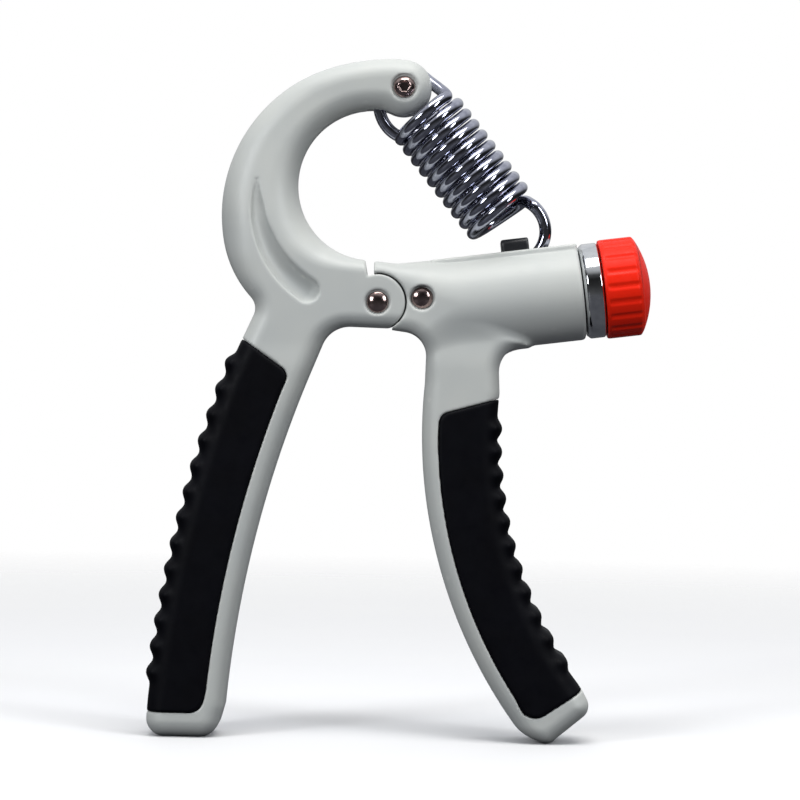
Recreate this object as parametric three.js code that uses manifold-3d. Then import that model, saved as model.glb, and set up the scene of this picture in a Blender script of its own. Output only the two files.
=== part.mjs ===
// Adjustable hand grip strengthener: two pivoted handles, a tension spring over the pivot,
// and a knob whose screw moves the spring's lower end along a barrel.
//
// Millimetres, +X to the knob, +Y to the rear, +Z up. The front view is symmetric about y = 0.
// The outlines are drawn about the main pivot, and the whole object is moved at the end so that
// its feet stand on z = 0 and its box is centred on the origin.

import * as THREE from 'three';
import { mergeVertices } from 'three/addons/utils/BufferGeometryUtils.js';
import Module from 'manifold-3d';

const wasm = await Module();
wasm.setup();

// ---------------------------------------------------------------- driving dimensions

const DEG = Math.PI / 180;

const PIVOT_HEIGHT = 98.9;         // main pivot above the feet
const FIT = 0.3;                   // gap between pieces that are fitted together
const RUNNING = 0.35;              // gap between pieces that turn or slide on each other

// Mouldings
const FRAME_THICKNESS = 19;        // handles, front to back
const FRAME_ROUND = 2;             // rounding of the mouldings' long edges
const PIVOT_THICKNESS = 18.4;      // at the main pivot, between the next two heights
const PIVOT_TOP = 12;
const PIVOT_LOW = -10;
const GRIP_TOP = -16;              // full thickness from here down
const TIP_THICKNESS = 13;          // at the arch's tip, where the spring hangs
const LOBE_RADIUS = 6.24;          // the arm's cheeks round the main pivot

// Arch, a hook round a circular hollow
const HOLLOW = { x: -1.5, z: 26.65, r: 17.2 };
const ARCH_LEFT = { x: -0.95, z: 19.93, r: 34.91 };
const ARCH_TOP_RADIUS = 49.1;
const ARCH_TOP_ANGLE = 106.6;      // where the crown runs into the left side
const ARCH_LOW_RADIUS = 26;
const ARCH_LOW_ANGLE = 190;        // where the left side tightens towards the waist
const WAIST_ANGLE = 223.3;         // where the arch runs into the hollow of the waist
const WAIST_RADIUS = 3.6;
const NOTCH_WALL = -0.95;          // the handle's end wall beside the arch's foot
const TIP = { x: 4.9, z: 48.9, r: 6.4 };

// Handles: each side is one long arc
const LEFT_INNER = { x: 228.3, z: -113.5, r: 262.1 };
const LEFT_OUTER = { x: 259.3, z: -119.3, r: 310.7 };
const RIGHT_INNER = { x: 122.7, z: -27.9, r: 112 };
const RIGHT_OUTER = { x: 120.4, z: -28.5, r: 92.8 };
const FOOT_SLOPE = 7.9;            // rise of the right foot's sole towards the outer side

// Barrel, on a tilted axis through a point under the main pivot
const AXIS_DROP = -2.72;           // height of the barrel's axis at the main pivot
const AXIS_TILT = 7.65;            // degrees up towards the knob
const BARREL_RADIUS = 10.9;
const BORE_RADIUS = 7.6;
const SHOULDER_RADIUS = 11.5;      // rounding of the flat part where the barrel grows out of it
const BARREL_START = 17;           // along the axis, where the bore ends
const BARREL_MOUTH = 46.6;
const SLOT_WIDTH = 8.2;            // lengthwise slot on top, for the slider's lug

// Rivets
const RIVET_SHANK = 1.6;
const RIVET_HEAD = 2.4;
const RIVET_DOME = 1.0;
const COUNTERBORE_RADIUS = 2.8;
const COUNTERBORE_DEPTH = 0.7;
const TONGUE_RIVET = { x: 10, z: 1.15 };

// Steel tongue of the hinge, between the arm's cheeks
const TONGUE_THICKNESS = 3;
const TONGUE_RADIUS = 4.8;
const WASHER_THICKNESS = 0.6;

// Pin through the tip, which the spring hangs on
const PIN = { x: 5.01, z: 48.84 };
const PIN_SHANK = 1.5;
const PIN_HEAD = 2.6;
const SLEEVE_RADIUS = 2.45;
const SLEEVE_GAP = 0.275;          // between the sleeve and the upper hook

// Tension spring
const WIRE = 2.75;
const WIRE_PLAY = 0.55;            // at each side of a hook in its slot
const COIL_OUTER = 18;
const COIL_GAP = 0.25;             // between one turn of wire and the next
const COIL_LENGTH = 30;
const HOOK_RADIUS = 7.5;           // mean radius of both end hooks
const SPRING_REACH = 40.67;        // from the pin to the lower hook's centre
const SPRING_ANGLE = -51.33;       // degrees, from the pin down to the slider
const COIL_PITCH = WIRE + COIL_GAP;
const COIL_TURNS = Math.floor(COIL_LENGTH / COIL_PITCH);
const HOOK_REACH = HOOK_RADIUS - WIRE / 2 - SLEEVE_RADIUS - SLEEVE_GAP; // from the pin to the upper hook's centre
const HOOK_SPAN = SPRING_REACH - HOOK_REACH; // between the two hooks' centres

// Adjusting screw, slider and knob, along the barrel's axis
const SCREW_RADIUS = 2.5;
const SLIDER_AT = 32.8;
const SLIDER_LENGTH = 10;
const LUG_LENGTH = 6.2;
const LUG_WIDTH = 7.4;
const LUG_RISE = 3;                // above the barrel's top
const LUG_BRIDGE = 3.1;            // height of the bar that the hook pulls on
const SLIDER_TRAVEL_IN = 7;
const SPIGOT_DEPTH = 1.6;          // of the collar in the barrel's mouth
const BUSHING_LENGTH = 2.4;
const CLIP_THICKNESS = 0.6;        // retaining clip in the screw's groove
const CLIP_RADIUS = 4.6;
const GROOVE_DEPTH = 0.6;
const GROOVE_PLAY = 0.1;
const COLLAR_RADIUS = 10.8;
const COLLAR_LENGTH = 4.3;
const THRUST_RADIUS = 6.5;         // washer between the collar and the knob
const KNOB_RADIUS = 11.3;
const KNOB_LENGTH = 10.9;
const KNOB_FLUTES = 20;
const KNOB_DOME = 3.4;             // height of the knob's domed end
const FLUTE_RADIUS = 0.9;
const HEX_RADIUS = 4.2;            // screw's head, across its corners
const HEX_LENGTH = 4;

// Grip pads
const PAD_THICKNESS = 20.6;
const PAD_ROUND = 1.4;
const CORE_THICKNESS = 11;         // of the handle inside the pad
const CORE_ROOT = 1.2;             // the core's overlap with the rest of the handle
const PAD_SIDE = 3.2;              // rubber over the core's outer side
const LEFT_PAD_EDGE = 4.3;         // strip of handle left bare along its inner side
const RIGHT_PAD_EDGE = 3.7;
const LEFT_PAD_FOOT = 5.7;         // foot left bare under the pad
const RIGHT_PAD_FOOT = 4.5;
const RIGHT_PAD_HEEL = 12.5;       // same at the outer side, where the foot slopes up
const LEFT_RIBS = 13;
const LEFT_RIB_TOP = -14.4;        // heights of the first and last rib's crests
const LEFT_RIB_FOOT = 14.5;
const RIGHT_RIBS = 11;
const RIGHT_RIB_TOP = -28;
const RIGHT_RIB_FOOT = 18.4;
const RIB_RADIUS = 1.55;
const RIB_RISE = 1.1;              // rib's crest above the pad's side

const WIDE = 60;                   // any cutter's length past the object

// ---------------------------------------------------------------- finishes

const PLASTIC = { color: 0xc9cbc8, roughness: 0.5, metalness: 0 };
const RUBBER = { color: 0x15171b, roughness: 0.75, metalness: 0 };
const CHROME = { color: 0xd6d8da, roughness: 0.15, metalness: 1 };
const STEEL = { color: 0xa9acaf, roughness: 0.35, metalness: 1 };
const BLACK_NYLON = { color: 0x17181a, roughness: 0.5, metalness: 0 };
const RED_PLASTIC = { color: 0xe8341c, roughness: 0.4, metalness: 0 };

// ---------------------------------------------------------------- solids and outlines

function solidOf(geometry) {
  let bare = geometry.index ? geometry.toNonIndexed() : geometry.clone();
  bare.deleteAttribute('normal');
  bare.deleteAttribute('uv');
  bare = mergeVertices(bare, 1e-4);
  const mesh = new wasm.Mesh({
    numProp: 3,
    vertProperties: new Float32Array(bare.attributes.position.array),
    triVerts: new Uint32Array(bare.index.array),
  });
  mesh.merge();
  return new wasm.Manifold(mesh);
}

function geometryOf(solid) {
  const mesh = solid.getMesh();
  const geometry = new THREE.BufferGeometry();
  geometry.setAttribute('position', new THREE.BufferAttribute(new Float32Array(mesh.vertProperties), 3));
  geometry.setIndex(new THREE.BufferAttribute(new Uint32Array(mesh.triVerts), 1));
  geometry.computeVertexNormals();
  return geometry;
}

// A point at an angle on a circle.
function onCircle(circle, degrees) {
  return {
    x: circle.x + circle.r * Math.cos(degrees * DEG),
    z: circle.z + circle.r * Math.sin(degrees * DEG),
  };
}

// Points along a circle between two angles, the second one past the first in either sense.
function arc(circle, from, to, step = 9) {
  const count = Math.max(2, Math.ceil(Math.abs(to - from) / step));
  const points = [];
  for (let i = 0; i <= count; i += 1) {
    points.push(onCircle(circle, from + ((to - from) * i) / count));
  }
  return points;
}

// The angle of a circle's left or right side at a height.
function angleAt(circle, z, side = -1) {
  const up = Math.asin((z - circle.z) / circle.r) / DEG;
  return side > 0 ? up : 180 - up;
}

// Where a handle's side is at a height.
function sideAt(circle, z) {
  return onCircle(circle, angleAt(circle, z)).x;
}

// A handle's side between two heights, as points on its long arc.
function side(circle, fromHeight, toHeight) {
  return arc(circle, angleAt(circle, fromHeight), angleAt(circle, toHeight), 3);
}

// A closed outline: plain points stay sharp, points with a radius are rounded.
function outline(points) {
  const shape = new THREE.Shape();
  const path = [];
  points.forEach((corner, i) => {
    if (!corner.round) {
      path.push(new THREE.Vector2(corner.x, corner.z));
      return;
    }
    const here = new THREE.Vector2(corner.x, corner.z);
    const before = points[(i + points.length - 1) % points.length];
    const after = points[(i + 1) % points.length];
    const back = new THREE.Vector2(before.x, before.z).sub(here).normalize();
    const ahead = new THREE.Vector2(after.x, after.z).sub(here).normalize();
    const half = Math.acos(THREE.MathUtils.clamp(back.dot(ahead), -1, 1)) / 2;
    const reach = corner.round / Math.tan(half);
    const start = here.clone().addScaledVector(back, reach);
    const end = here.clone().addScaledVector(ahead, reach);
    const middle = back.clone().add(ahead).normalize();
    const centre = here.clone().addScaledVector(middle, corner.round / Math.sin(half));
    const first = Math.atan2(start.y - centre.y, start.x - centre.x);
    const last = Math.atan2(end.y - centre.y, end.x - centre.x);
    const turn = Math.atan2(Math.sin(last - first), Math.cos(last - first));
    const count = Math.max(2, Math.ceil(Math.abs(turn) / (15 * DEG)));
    for (let k = 0; k <= count; k += 1) {
      const angle = first + (turn * k) / count;
      path.push(new THREE.Vector2(
        centre.x + corner.round * Math.cos(angle),
        centre.y + corner.round * Math.sin(angle),
      ));
    }
  });
  shape.setFromPoints(path);
  return shape;
}

// An outline in the front view, given its thickness from front to back and rounded edges.
function plate(shape, thickness, round = 0) {
  const geometry = new THREE.ExtrudeGeometry(shape, {
    depth: thickness - 2 * round,
    bevelEnabled: round > 0,
    bevelThickness: round,
    bevelSize: round,
    bevelOffset: -round,
    bevelSegments: 3,
  });
  geometry.translate(0, 0, round - thickness / 2);
  geometry.rotateX(Math.PI / 2);
  return geometry;
}

// A round body on the Y axis through a point of the front view, from [radius, y] pairs.
function turnedAcross(profile, at, segments = 24) {
  const points = profile.map(([radius, y]) => new THREE.Vector2(radius, y));
  return new THREE.LatheGeometry(points, segments).translate(at.x, 0, at.z);
}

// A round body on the X axis, from [radius, x] pairs.
function turnedAlong(profile, segments = 32) {
  const points = profile.map(([radius, x]) => new THREE.Vector2(radius, x));
  return new THREE.LatheGeometry(points, segments).rotateZ(-Math.PI / 2);
}

function pinAcross(at, radius, length = WIDE, segments = 24) {
  return new THREE.CylinderGeometry(radius, radius, length, segments).translate(at.x, 0, at.z);
}

function pinAlong(radius, from, to, segments = 32) {
  const geometry = new THREE.CylinderGeometry(radius, radius, to - from, segments);
  return geometry.rotateZ(-Math.PI / 2).translate((from + to) / 2, 0, 0);
}

function block(from, to) {
  const size = to.map((value, i) => value - from[i]);
  return new THREE.BoxGeometry(...size).translate(...from.map((value, i) => value + size[i] / 2));
}

// Puts geometry drawn along the X axis onto the barrel's axis.
function ontoBarrel(geometry) {
  return geometry.rotateY(-AXIS_TILT * DEG).translate(0, 0, AXIS_DROP);
}

// A point of the front view that is given along and above the barrel's axis.
function barrelPoint(along, above) {
  const c = Math.cos(AXIS_TILT * DEG);
  const s = Math.sin(AXIS_TILT * DEG);
  return { x: along * c - above * s, z: AXIS_DROP + along * s + above * c };
}

const grip = new THREE.Group();
grip.name = 'hand_grip_strengthener';

function piece(name, geometry, finish, parent = grip) {
  const mesh = new THREE.Mesh(geometry, new THREE.MeshStandardMaterial(finish));
  mesh.name = name;
  parent.add(mesh);
}

// ---------------------------------------------------------------- outlines of the mouldings

const FOOT_LEVEL = -PIVOT_HEIGHT;

function armOutline() {
  const top = {
    x: ARCH_LEFT.x - (ARCH_TOP_RADIUS - ARCH_LEFT.r) * Math.cos(ARCH_TOP_ANGLE * DEG),
    z: ARCH_LEFT.z - (ARCH_TOP_RADIUS - ARCH_LEFT.r) * Math.sin(ARCH_TOP_ANGLE * DEG),
    r: ARCH_TOP_RADIUS,
  };
  const low = {
    x: ARCH_LEFT.x + (ARCH_LEFT.r - ARCH_LOW_RADIUS) * Math.cos(ARCH_LOW_ANGLE * DEG),
    z: ARCH_LEFT.z + (ARCH_LEFT.r - ARCH_LOW_RADIUS) * Math.sin(ARCH_LOW_ANGLE * DEG),
    r: ARCH_LOW_RADIUS,
  };
  const waist = { ...onCircle({ ...low, r: low.r + WAIST_RADIUS }, WAIST_ANGLE), r: WAIST_RADIUS };
  const towardsTip = Math.atan2(TIP.z - HOLLOW.z, TIP.x - HOLLOW.x) / DEG;
  return outline([
    ...arc({ x: 0, z: 0, r: LOBE_RADIUS }, -58, 112),
    ...arc(HOLLOW, -95, towardsTip + 10 - 360),
    ...arc(TIP, towardsTip - 193, 86),
    ...arc(top, 90, ARCH_TOP_ANGLE, 5),
    ...arc(ARCH_LEFT, ARCH_TOP_ANGLE + 5, ARCH_LOW_ANGLE - 5, 6),
    ...arc(low, ARCH_LOW_ANGLE, WAIST_ANGLE - 3),
    ...arc(waist, WAIST_ANGLE - 180, -27, 14),
    ...side(LEFT_OUTER, -17, FOOT_LEVEL + 8.9),
    { x: sideAt(LEFT_OUTER, FOOT_LEVEL) + 0.1, z: FOOT_LEVEL, round: 4 },
    { x: sideAt(LEFT_INNER, FOOT_LEVEL) - 1.4, z: FOOT_LEVEL, round: 4.6 },
    ...side(LEFT_INNER, FOOT_LEVEL + 6.9, -16),
    { x: -10.7, z: -5.3, round: 6.7 },
  ]);
}

// The handle's flat part, which the round barrel grows out of, or the room that holds both.
function handleOutline(withBarrel) {
  const radius = BARREL_RADIUS + (withBarrel ? 1 : 0);
  const past = BARREL_MOUTH + 5;
  const tilt = AXIS_TILT * DEG;
  const topStart = (NOTCH_WALL + radius * Math.sin(tilt)) / Math.cos(tilt);
  const heel = FOOT_LEVEL + FOOT_SLOPE;
  const toe = sideAt(RIGHT_INNER, FOOT_LEVEL) - 0.56;
  const flatEnd = [
    barrelPoint(BARREL_START - 1, radius),
    barrelPoint(BARREL_START + 6, 0),
    barrelPoint(BARREL_START + 15, -radius / 2),
    barrelPoint(BARREL_START + 15, -radius + 0.1),
  ];
  return outline([
    { x: 0, z: -5.5 },
    barrelPoint(topStart, radius),
    ...(withBarrel ? [barrelPoint(past, radius), barrelPoint(past, -radius)] : flatEnd),
    { ...barrelPoint(26.3, -radius), round: 6 },
    ...side(RIGHT_OUTER, -20, heel + 4.5),
    { x: sideAt(RIGHT_OUTER, heel) - 1.4, z: heel, round: 3.2 },
    { x: toe + 5.4, z: FOOT_LEVEL, round: 3.1 },
    { x: toe, z: FOOT_LEVEL, round: 3.4 },
    ...side(RIGHT_INNER, FOOT_LEVEL + 5.9, -18),
    { x: 11.4, z: -7, round: 5.5 },
  ]);
}

// Grip pads. An outline is grown on three sides by a gap, and its outer side is moved outwards.
function leftPadOutline(grow, outwards = 0) {
  const inner = { ...LEFT_INNER, r: LEFT_INNER.r + LEFT_PAD_EDGE - grow };
  const outer = { ...LEFT_OUTER, r: LEFT_OUTER.r + outwards };
  const bottom = FOOT_LEVEL + LEFT_PAD_FOOT - grow;
  return outline([
    ...side(outer, -13, bottom + 2.5),
    { ...onCircle(outer, angleAt(outer, bottom)), round: 1.6 },
    { x: sideAt(inner, bottom) - 0.7, z: bottom, round: 3.4 },
    ...side(inner, FOOT_LEVEL + 10.4, -20.5),
    { x: -19.6 + grow, z: -16.4 + grow, round: 2.6 },
    { x: -31.6 - outwards, z: -8.1 + grow + 0.69 * outwards, round: 1.6 },
  ]);
}

function rightPadOutline(grow, outwards = 0) {
  const inner = { ...RIGHT_INNER, r: RIGHT_INNER.r - RIGHT_PAD_EDGE + grow };
  const outer = { ...RIGHT_OUTER, r: RIGHT_OUTER.r - outwards };
  const heel = FOOT_LEVEL + RIGHT_PAD_HEEL;
  const toe = FOOT_LEVEL + RIGHT_PAD_FOOT;
  const bottom = heel + 0.68 * outwards;
  return outline([
    { ...onCircle(outer, angleAt(outer, -21.4)), z: -21.4 + grow + 0.3 * outwards, round: 1.6 },
    { x: 14.6 - grow, z: -25.1 + grow, round: 2.4 },
    ...side(inner, -29.7, toe + 5.9),
    { x: sideAt(inner, toe) - 1, z: toe - grow, round: 3.6 },
    { x: sideAt(RIGHT_OUTER, heel) + 0.1 + outwards + grow, z: bottom - grow, round: 1.6 },
    ...side(outer, bottom + 2.5, -25),
  ]);
}

// ---------------------------------------------------------------- cutters shared by the mouldings

// The object's thickness tapers up the arch.
function thicknessEnvelope() {
  const foot = FRAME_THICKNESS / 2;
  const pivot = PIVOT_THICKNESS / 2;
  const tip = TIP_THICKNESS / 2;
  const shape = outline([
    { x: -foot, z: -WIDE * 2 },
    { x: foot, z: -WIDE * 2 },
    { x: foot, z: GRIP_TOP },
    { x: pivot, z: PIVOT_LOW },
    { x: pivot, z: PIVOT_TOP },
    { x: tip, z: PIN.z - 4 },
    { x: tip, z: WIDE * 2 },
    { x: -tip, z: WIDE * 2 },
    { x: -tip, z: PIN.z - 4 },
    { x: -pivot, z: PIVOT_TOP },
    { x: -pivot, z: PIVOT_LOW },
    { x: -foot, z: GRIP_TOP },
  ]);
  return solidOf(plate(shape, WIDE * 3).rotateZ(Math.PI / 2));
}

// Hole and counterbores of a rivet or screw through both faces.
function rivetHole(at, thickness, shank, bore) {
  const hole = solidOf(pinAcross(at, shank + FIT));
  const floor = thickness / 2 - COUNTERBORE_DEPTH;
  const front = solidOf(pinAcross(at, bore, WIDE).translate(0, -WIDE / 2 - floor, 0));
  const rear = solidOf(pinAcross(at, bore, WIDE).translate(0, WIDE / 2 + floor, 0));
  return hole.add(front).add(rear);
}

// ---------------------------------------------------------------- left arm

const gapHalf = TONGUE_THICKNESS / 2 + WASHER_THICKNESS + 2 * FIT;
const forkHalf = WIRE / 2 + WIRE_PLAY;

function springFrame() {
  const along = new THREE.Vector3(Math.cos(SPRING_ANGLE * DEG), 0, Math.sin(SPRING_ANGLE * DEG));
  const across = new THREE.Vector3(-along.z, 0, along.x);
  const start = new THREE.Vector3(PIN.x, 0, PIN.z).addScaledVector(along, HOOK_REACH);
  return { along, across, start };
}

function leftArm() {
  const hook = springFrame().start;
  let arm = solidOf(plate(armOutline(), FRAME_THICKNESS, FRAME_ROUND)).intersect(thicknessEnvelope());
  arm = arm.subtract(solidOf(plate(leftPadOutline(FIT, 4), WIDE)));
  const core = plate(leftPadOutline(CORE_ROOT, -PAD_SIDE), CORE_THICKNESS);
  arm = arm.add(solidOf(core));
  arm = arm.subtract(solidOf(pinAcross({ x: 0, z: 0 }, LOBE_RADIUS + 0.6, 2 * gapHalf)));
  const fork = pinAcross({ x: hook.x, z: hook.z }, HOOK_RADIUS + WIRE / 2 + 1.6, 2 * forkHalf, 32);
  arm = arm.subtract(solidOf(fork));
  arm = arm.subtract(rivetHole({ x: 0, z: 0 }, PIVOT_THICKNESS, RIVET_SHANK, COUNTERBORE_RADIUS));
  arm = arm.subtract(rivetHole(PIN, TIP_THICKNESS, PIN_SHANK, PIN_HEAD + FIT));
  return geometryOf(arm);
}

// Ribs across a pad's outer side; outwards is 1 where the side bulges and -1 where it is hollow.
function ribs(circle, outwards, count, from, to) {
  const crests = { ...circle, r: circle.r + outwards * (RIB_RISE - RIB_RADIUS) };
  let all = null;
  for (let i = 0; i < count; i += 1) {
    const height = from + ((to - from) * i) / (count - 1);
    const crest = onCircle(crests, angleAt(crests, height));
    const rib = solidOf(pinAcross(crest, RIB_RADIUS, PAD_THICKNESS - 2 * PAD_ROUND, 12));
    all = all ? all.add(rib) : rib;
  }
  return all;
}

function leftPad() {
  const body = solidOf(plate(leftPadOutline(0), PAD_THICKNESS, PAD_ROUND));
  const inside = plate(leftPadOutline(CORE_ROOT + FIT, FIT - PAD_SIDE), CORE_THICKNESS + 2 * FIT);
  return geometryOf(body.add(ribs(LEFT_OUTER, 1, LEFT_RIBS, LEFT_RIB_TOP, FOOT_LEVEL + LEFT_RIB_FOOT)).subtract(solidOf(inside)));
}

// ---------------------------------------------------------------- right handle with its barrel

function tongueOutline(grow) {
  const radius = TONGUE_RADIUS + grow;
  const lean = Math.atan2(TONGUE_RIVET.z, TONGUE_RIVET.x) / DEG;
  return outline([
    ...arc({ x: 0, z: 0, r: radius }, 90 + lean, 270 + lean, 12),
    ...arc({ ...TONGUE_RIVET, r: radius }, lean - 90, lean + 90, 12),
  ]);
}

// What is taken off the flat part's top edges, so that they round into the barrel.
function shoulderCut() {
  const above = solidOf(ontoBarrel(block([-WIDE, -WIDE, -3], [WIDE, WIDE, WIDE])));
  return above.subtract(solidOf(ontoBarrel(pinAlong(SHOULDER_RADIUS, -WIDE - 5, WIDE + 5, 40))));
}

function rightHandle() {
  let handle = solidOf(plate(handleOutline(false), FRAME_THICKNESS, FRAME_ROUND));
  handle = handle.intersect(thicknessEnvelope()).subtract(shoulderCut());
  const tube = turnedAlong([
    [0, 4.5],
    [6, 6],
    [9.2, 10],
    [BARREL_RADIUS, 17],
    [BARREL_RADIUS, BARREL_MOUTH - 0.6],
    [BARREL_RADIUS - 0.6, BARREL_MOUTH],
    [0, BARREL_MOUTH],
  ], 40);
  handle = handle.add(solidOf(ontoBarrel(tube)).intersect(solidOf(plate(handleOutline(true), WIDE))));
  const bore = solidOf(ontoBarrel(pinAlong(BORE_RADIUS, BARREL_START, BARREL_MOUTH + 5)));
  handle = handle.subtract(bore);
  const slotReach = HOOK_RADIUS + WIRE / 2 + 0.6;
  const slot = block(
    [SLIDER_AT - SLIDER_TRAVEL_IN - slotReach, -SLOT_WIDTH / 2, 0],
    [SLIDER_AT + slotReach, SLOT_WIDTH / 2, WIDE],
  );
  handle = handle.subtract(solidOf(ontoBarrel(slot)));
  handle = handle.subtract(solidOf(pinAcross({ x: 0, z: 0 }, LOBE_RADIUS + RUNNING, WIDE, 48)));
  handle = handle.subtract(solidOf(plate(tongueOutline(FIT), TONGUE_THICKNESS + 2 * FIT)));
  handle = handle.subtract(rivetHole(TONGUE_RIVET, PIVOT_THICKNESS, RIVET_SHANK, COUNTERBORE_RADIUS));
  handle = handle.subtract(solidOf(plate(rightPadOutline(FIT, 4), WIDE)));
  handle = handle.add(solidOf(plate(rightPadOutline(CORE_ROOT, -PAD_SIDE), CORE_THICKNESS)));
  return geometryOf(handle);
}

function rightPad() {
  const body = solidOf(plate(rightPadOutline(0), PAD_THICKNESS, PAD_ROUND));
  const inside = plate(rightPadOutline(CORE_ROOT + FIT, FIT - PAD_SIDE), CORE_THICKNESS + 2 * FIT);
  return geometryOf(body.add(ribs(RIGHT_OUTER, -1, RIGHT_RIBS, RIGHT_RIB_TOP, FOOT_LEVEL + RIGHT_RIB_FOOT)).subtract(solidOf(inside)));
}

// ---------------------------------------------------------------- hinge

function hingeTongue() {
  const hole = (at) => solidOf(pinAcross(at, RIVET_SHANK + FIT));
  const plain = solidOf(plate(tongueOutline(0), TONGUE_THICKNESS));
  return geometryOf(plain.subtract(hole({ x: 0, z: 0 })).subtract(hole(TONGUE_RIVET)));
}

function rivet(at) {
  const seat = PIVOT_THICKNESS / 2 - COUNTERBORE_DEPTH + 0.05;
  const crown = seat + RIVET_DOME;
  return turnedAcross([
    [0, -crown],
    [RIVET_HEAD * 0.6, -crown + 0.22],
    [RIVET_HEAD, -seat - 0.3],
    [RIVET_HEAD, -seat],
    [RIVET_SHANK, -seat],
    [RIVET_SHANK, seat],
    [RIVET_HEAD, seat],
    [RIVET_HEAD, seat + 0.3],
    [RIVET_HEAD * 0.6, crown - 0.22],
    [0, crown],
  ], at);
}

function washer(side) {
  const near = TONGUE_THICKNESS / 2 + FIT;
  const far = near + WASHER_THICKNESS;
  const ring = turnedAcross([
    [RIVET_SHANK + FIT, near],
    [TONGUE_RADIUS, near],
    [TONGUE_RADIUS, far],
    [RIVET_SHANK + FIT, far],
    [RIVET_SHANK + FIT, near],
  ], { x: 0, z: 0 });
  return side > 0 ? ring : ring.rotateZ(Math.PI);
}

// ---------------------------------------------------------------- pin, sleeve and nut at the arch's tip

const pinSeat = TIP_THICKNESS / 2 - COUNTERBORE_DEPTH + 0.05;

function pinScrew() {
  return turnedAcross([
    [0, -pinSeat - 1.5],
    [PIN_HEAD * 0.7, -pinSeat - 1.35],
    [PIN_HEAD, -pinSeat - 0.8],
    [PIN_HEAD, -pinSeat],
    [PIN_SHANK, -pinSeat],
    [PIN_SHANK, pinSeat + 1.2],
    [0, pinSeat + 1.2],
  ], PIN);
}

function pinNut() {
  return turnedAcross([
    [PIN_SHANK + FIT, pinSeat],
    [PIN_HEAD, pinSeat],
    [PIN_HEAD, pinSeat + 1.2],
    [PIN_HEAD - 0.3, pinSeat + 1.5],
    [PIN_SHANK + FIT, pinSeat + 1.5],
    [PIN_SHANK + FIT, pinSeat],
  ], PIN, 6);
}

function pinSleeve() {
  const half = forkHalf - FIT;
  return turnedAcross([
    [PIN_SHANK + FIT, -half],
    [SLEEVE_RADIUS, -half],
    [SLEEVE_RADIUS, half],
    [PIN_SHANK + FIT, half],
    [PIN_SHANK + FIT, -half],
  ], PIN);
}

// ---------------------------------------------------------------- tension spring

const coilRadius = (COIL_OUTER - WIRE) / 2;
const coilStart = (HOOK_SPAN - COIL_TURNS * COIL_PITCH) / 2;

// A point of the spring, given along its axis, across it in the front view, and to the rear.
function springPoint(along, across, rear) {
  const frame = springFrame();
  return frame.start.clone()
    .addScaledVector(frame.along, along)
    .addScaledVector(frame.across, across)
    .add(new THREE.Vector3(0, rear, 0));
}

// Hook in the front view's plane, round its centre, between two angles from the axis.
function hookPoints(centre, from, to, count) {
  const points = [];
  for (let i = 0; i <= count; i += 1) {
    const angle = (from + ((to - from) * i) / count) * DEG;
    points.push(springPoint(centre + HOOK_RADIUS * Math.cos(angle), HOOK_RADIUS * Math.sin(angle), 0));
  }
  return points;
}

function wire(points, steps) {
  const section = new THREE.Shape();
  section.absarc(0, 0, WIRE / 2, 0, 2 * Math.PI);
  const path = new THREE.CatmullRomCurve3(points, false, 'centripetal');
  return new THREE.ExtrudeGeometry(section, { steps, curveSegments: 4, extrudePath: path });
}

function springCoils() {
  const points = hookPoints(0, 395, 110, 14);
  const perTurn = 12;
  for (let i = 1; i <= COIL_TURNS * perTurn; i += 1) {
    const turn = i / perTurn;
    const angle = turn * 2 * Math.PI;
    points.push(springPoint(
      coilStart + turn * COIL_PITCH,
      coilRadius * Math.cos(angle),
      -coilRadius * Math.sin(angle),
    ));
  }
  return wire(points, COIL_TURNS * perTurn + 24);
}

function springLowerHook() {
  return wire(hookPoints(HOOK_SPAN, 98, -88, 12), 14);
}

// ---------------------------------------------------------------- screw, slider, collar and knob

const spigotStart = BARREL_MOUTH - SPIGOT_DEPTH;
const bushingStart = spigotStart - FIT - BUSHING_LENGTH;
const grooveEnd = bushingStart - FIT;
const grooveStart = grooveEnd - CLIP_THICKNESS - 2 * GROOVE_PLAY;
const collarEnd = BARREL_MOUTH + FIT + COLLAR_LENGTH;
const knobStart = collarEnd + FIT;
const headStart = knobStart + WASHER_THICKNESS + 0.5;

function leadScrew() {
  const bolt = solidOf(turnedAlong([
    [0, BARREL_START + 1.4],
    [SCREW_RADIUS - 0.5, BARREL_START + 1.4],
    [SCREW_RADIUS, BARREL_START + 2],
    [SCREW_RADIUS, grooveStart],
    [SCREW_RADIUS - GROOVE_DEPTH, grooveStart],
    [SCREW_RADIUS - GROOVE_DEPTH, grooveEnd],
    [SCREW_RADIUS, grooveEnd],
    [SCREW_RADIUS, headStart + 0.5],
    [0, headStart + 0.5],
  ], 20));
  const head = solidOf(pinAlong(HEX_RADIUS, headStart, headStart + HEX_LENGTH, 6));
  return ontoBarrel(geometryOf(bolt.add(head)));
}

function retainingClip() {
  const inner = SCREW_RADIUS - GROOVE_DEPTH / 2;
  const start = grooveStart + GROOVE_PLAY;
  return ontoBarrel(turnedAlong([
    [inner, start],
    [CLIP_RADIUS, start],
    [CLIP_RADIUS, start + CLIP_THICKNESS],
    [inner, start + CLIP_THICKNESS],
    [inner, start],
  ], 20));
}

function screwBushing() {
  return ontoBarrel(turnedAlong([
    [SCREW_RADIUS + FIT, bushingStart],
    [BORE_RADIUS - FIT, bushingStart],
    [BORE_RADIUS - FIT, bushingStart + BUSHING_LENGTH],
    [SCREW_RADIUS + FIT, bushingStart + BUSHING_LENGTH],
    [SCREW_RADIUS + FIT, bushingStart],
  ]));
}

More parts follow.
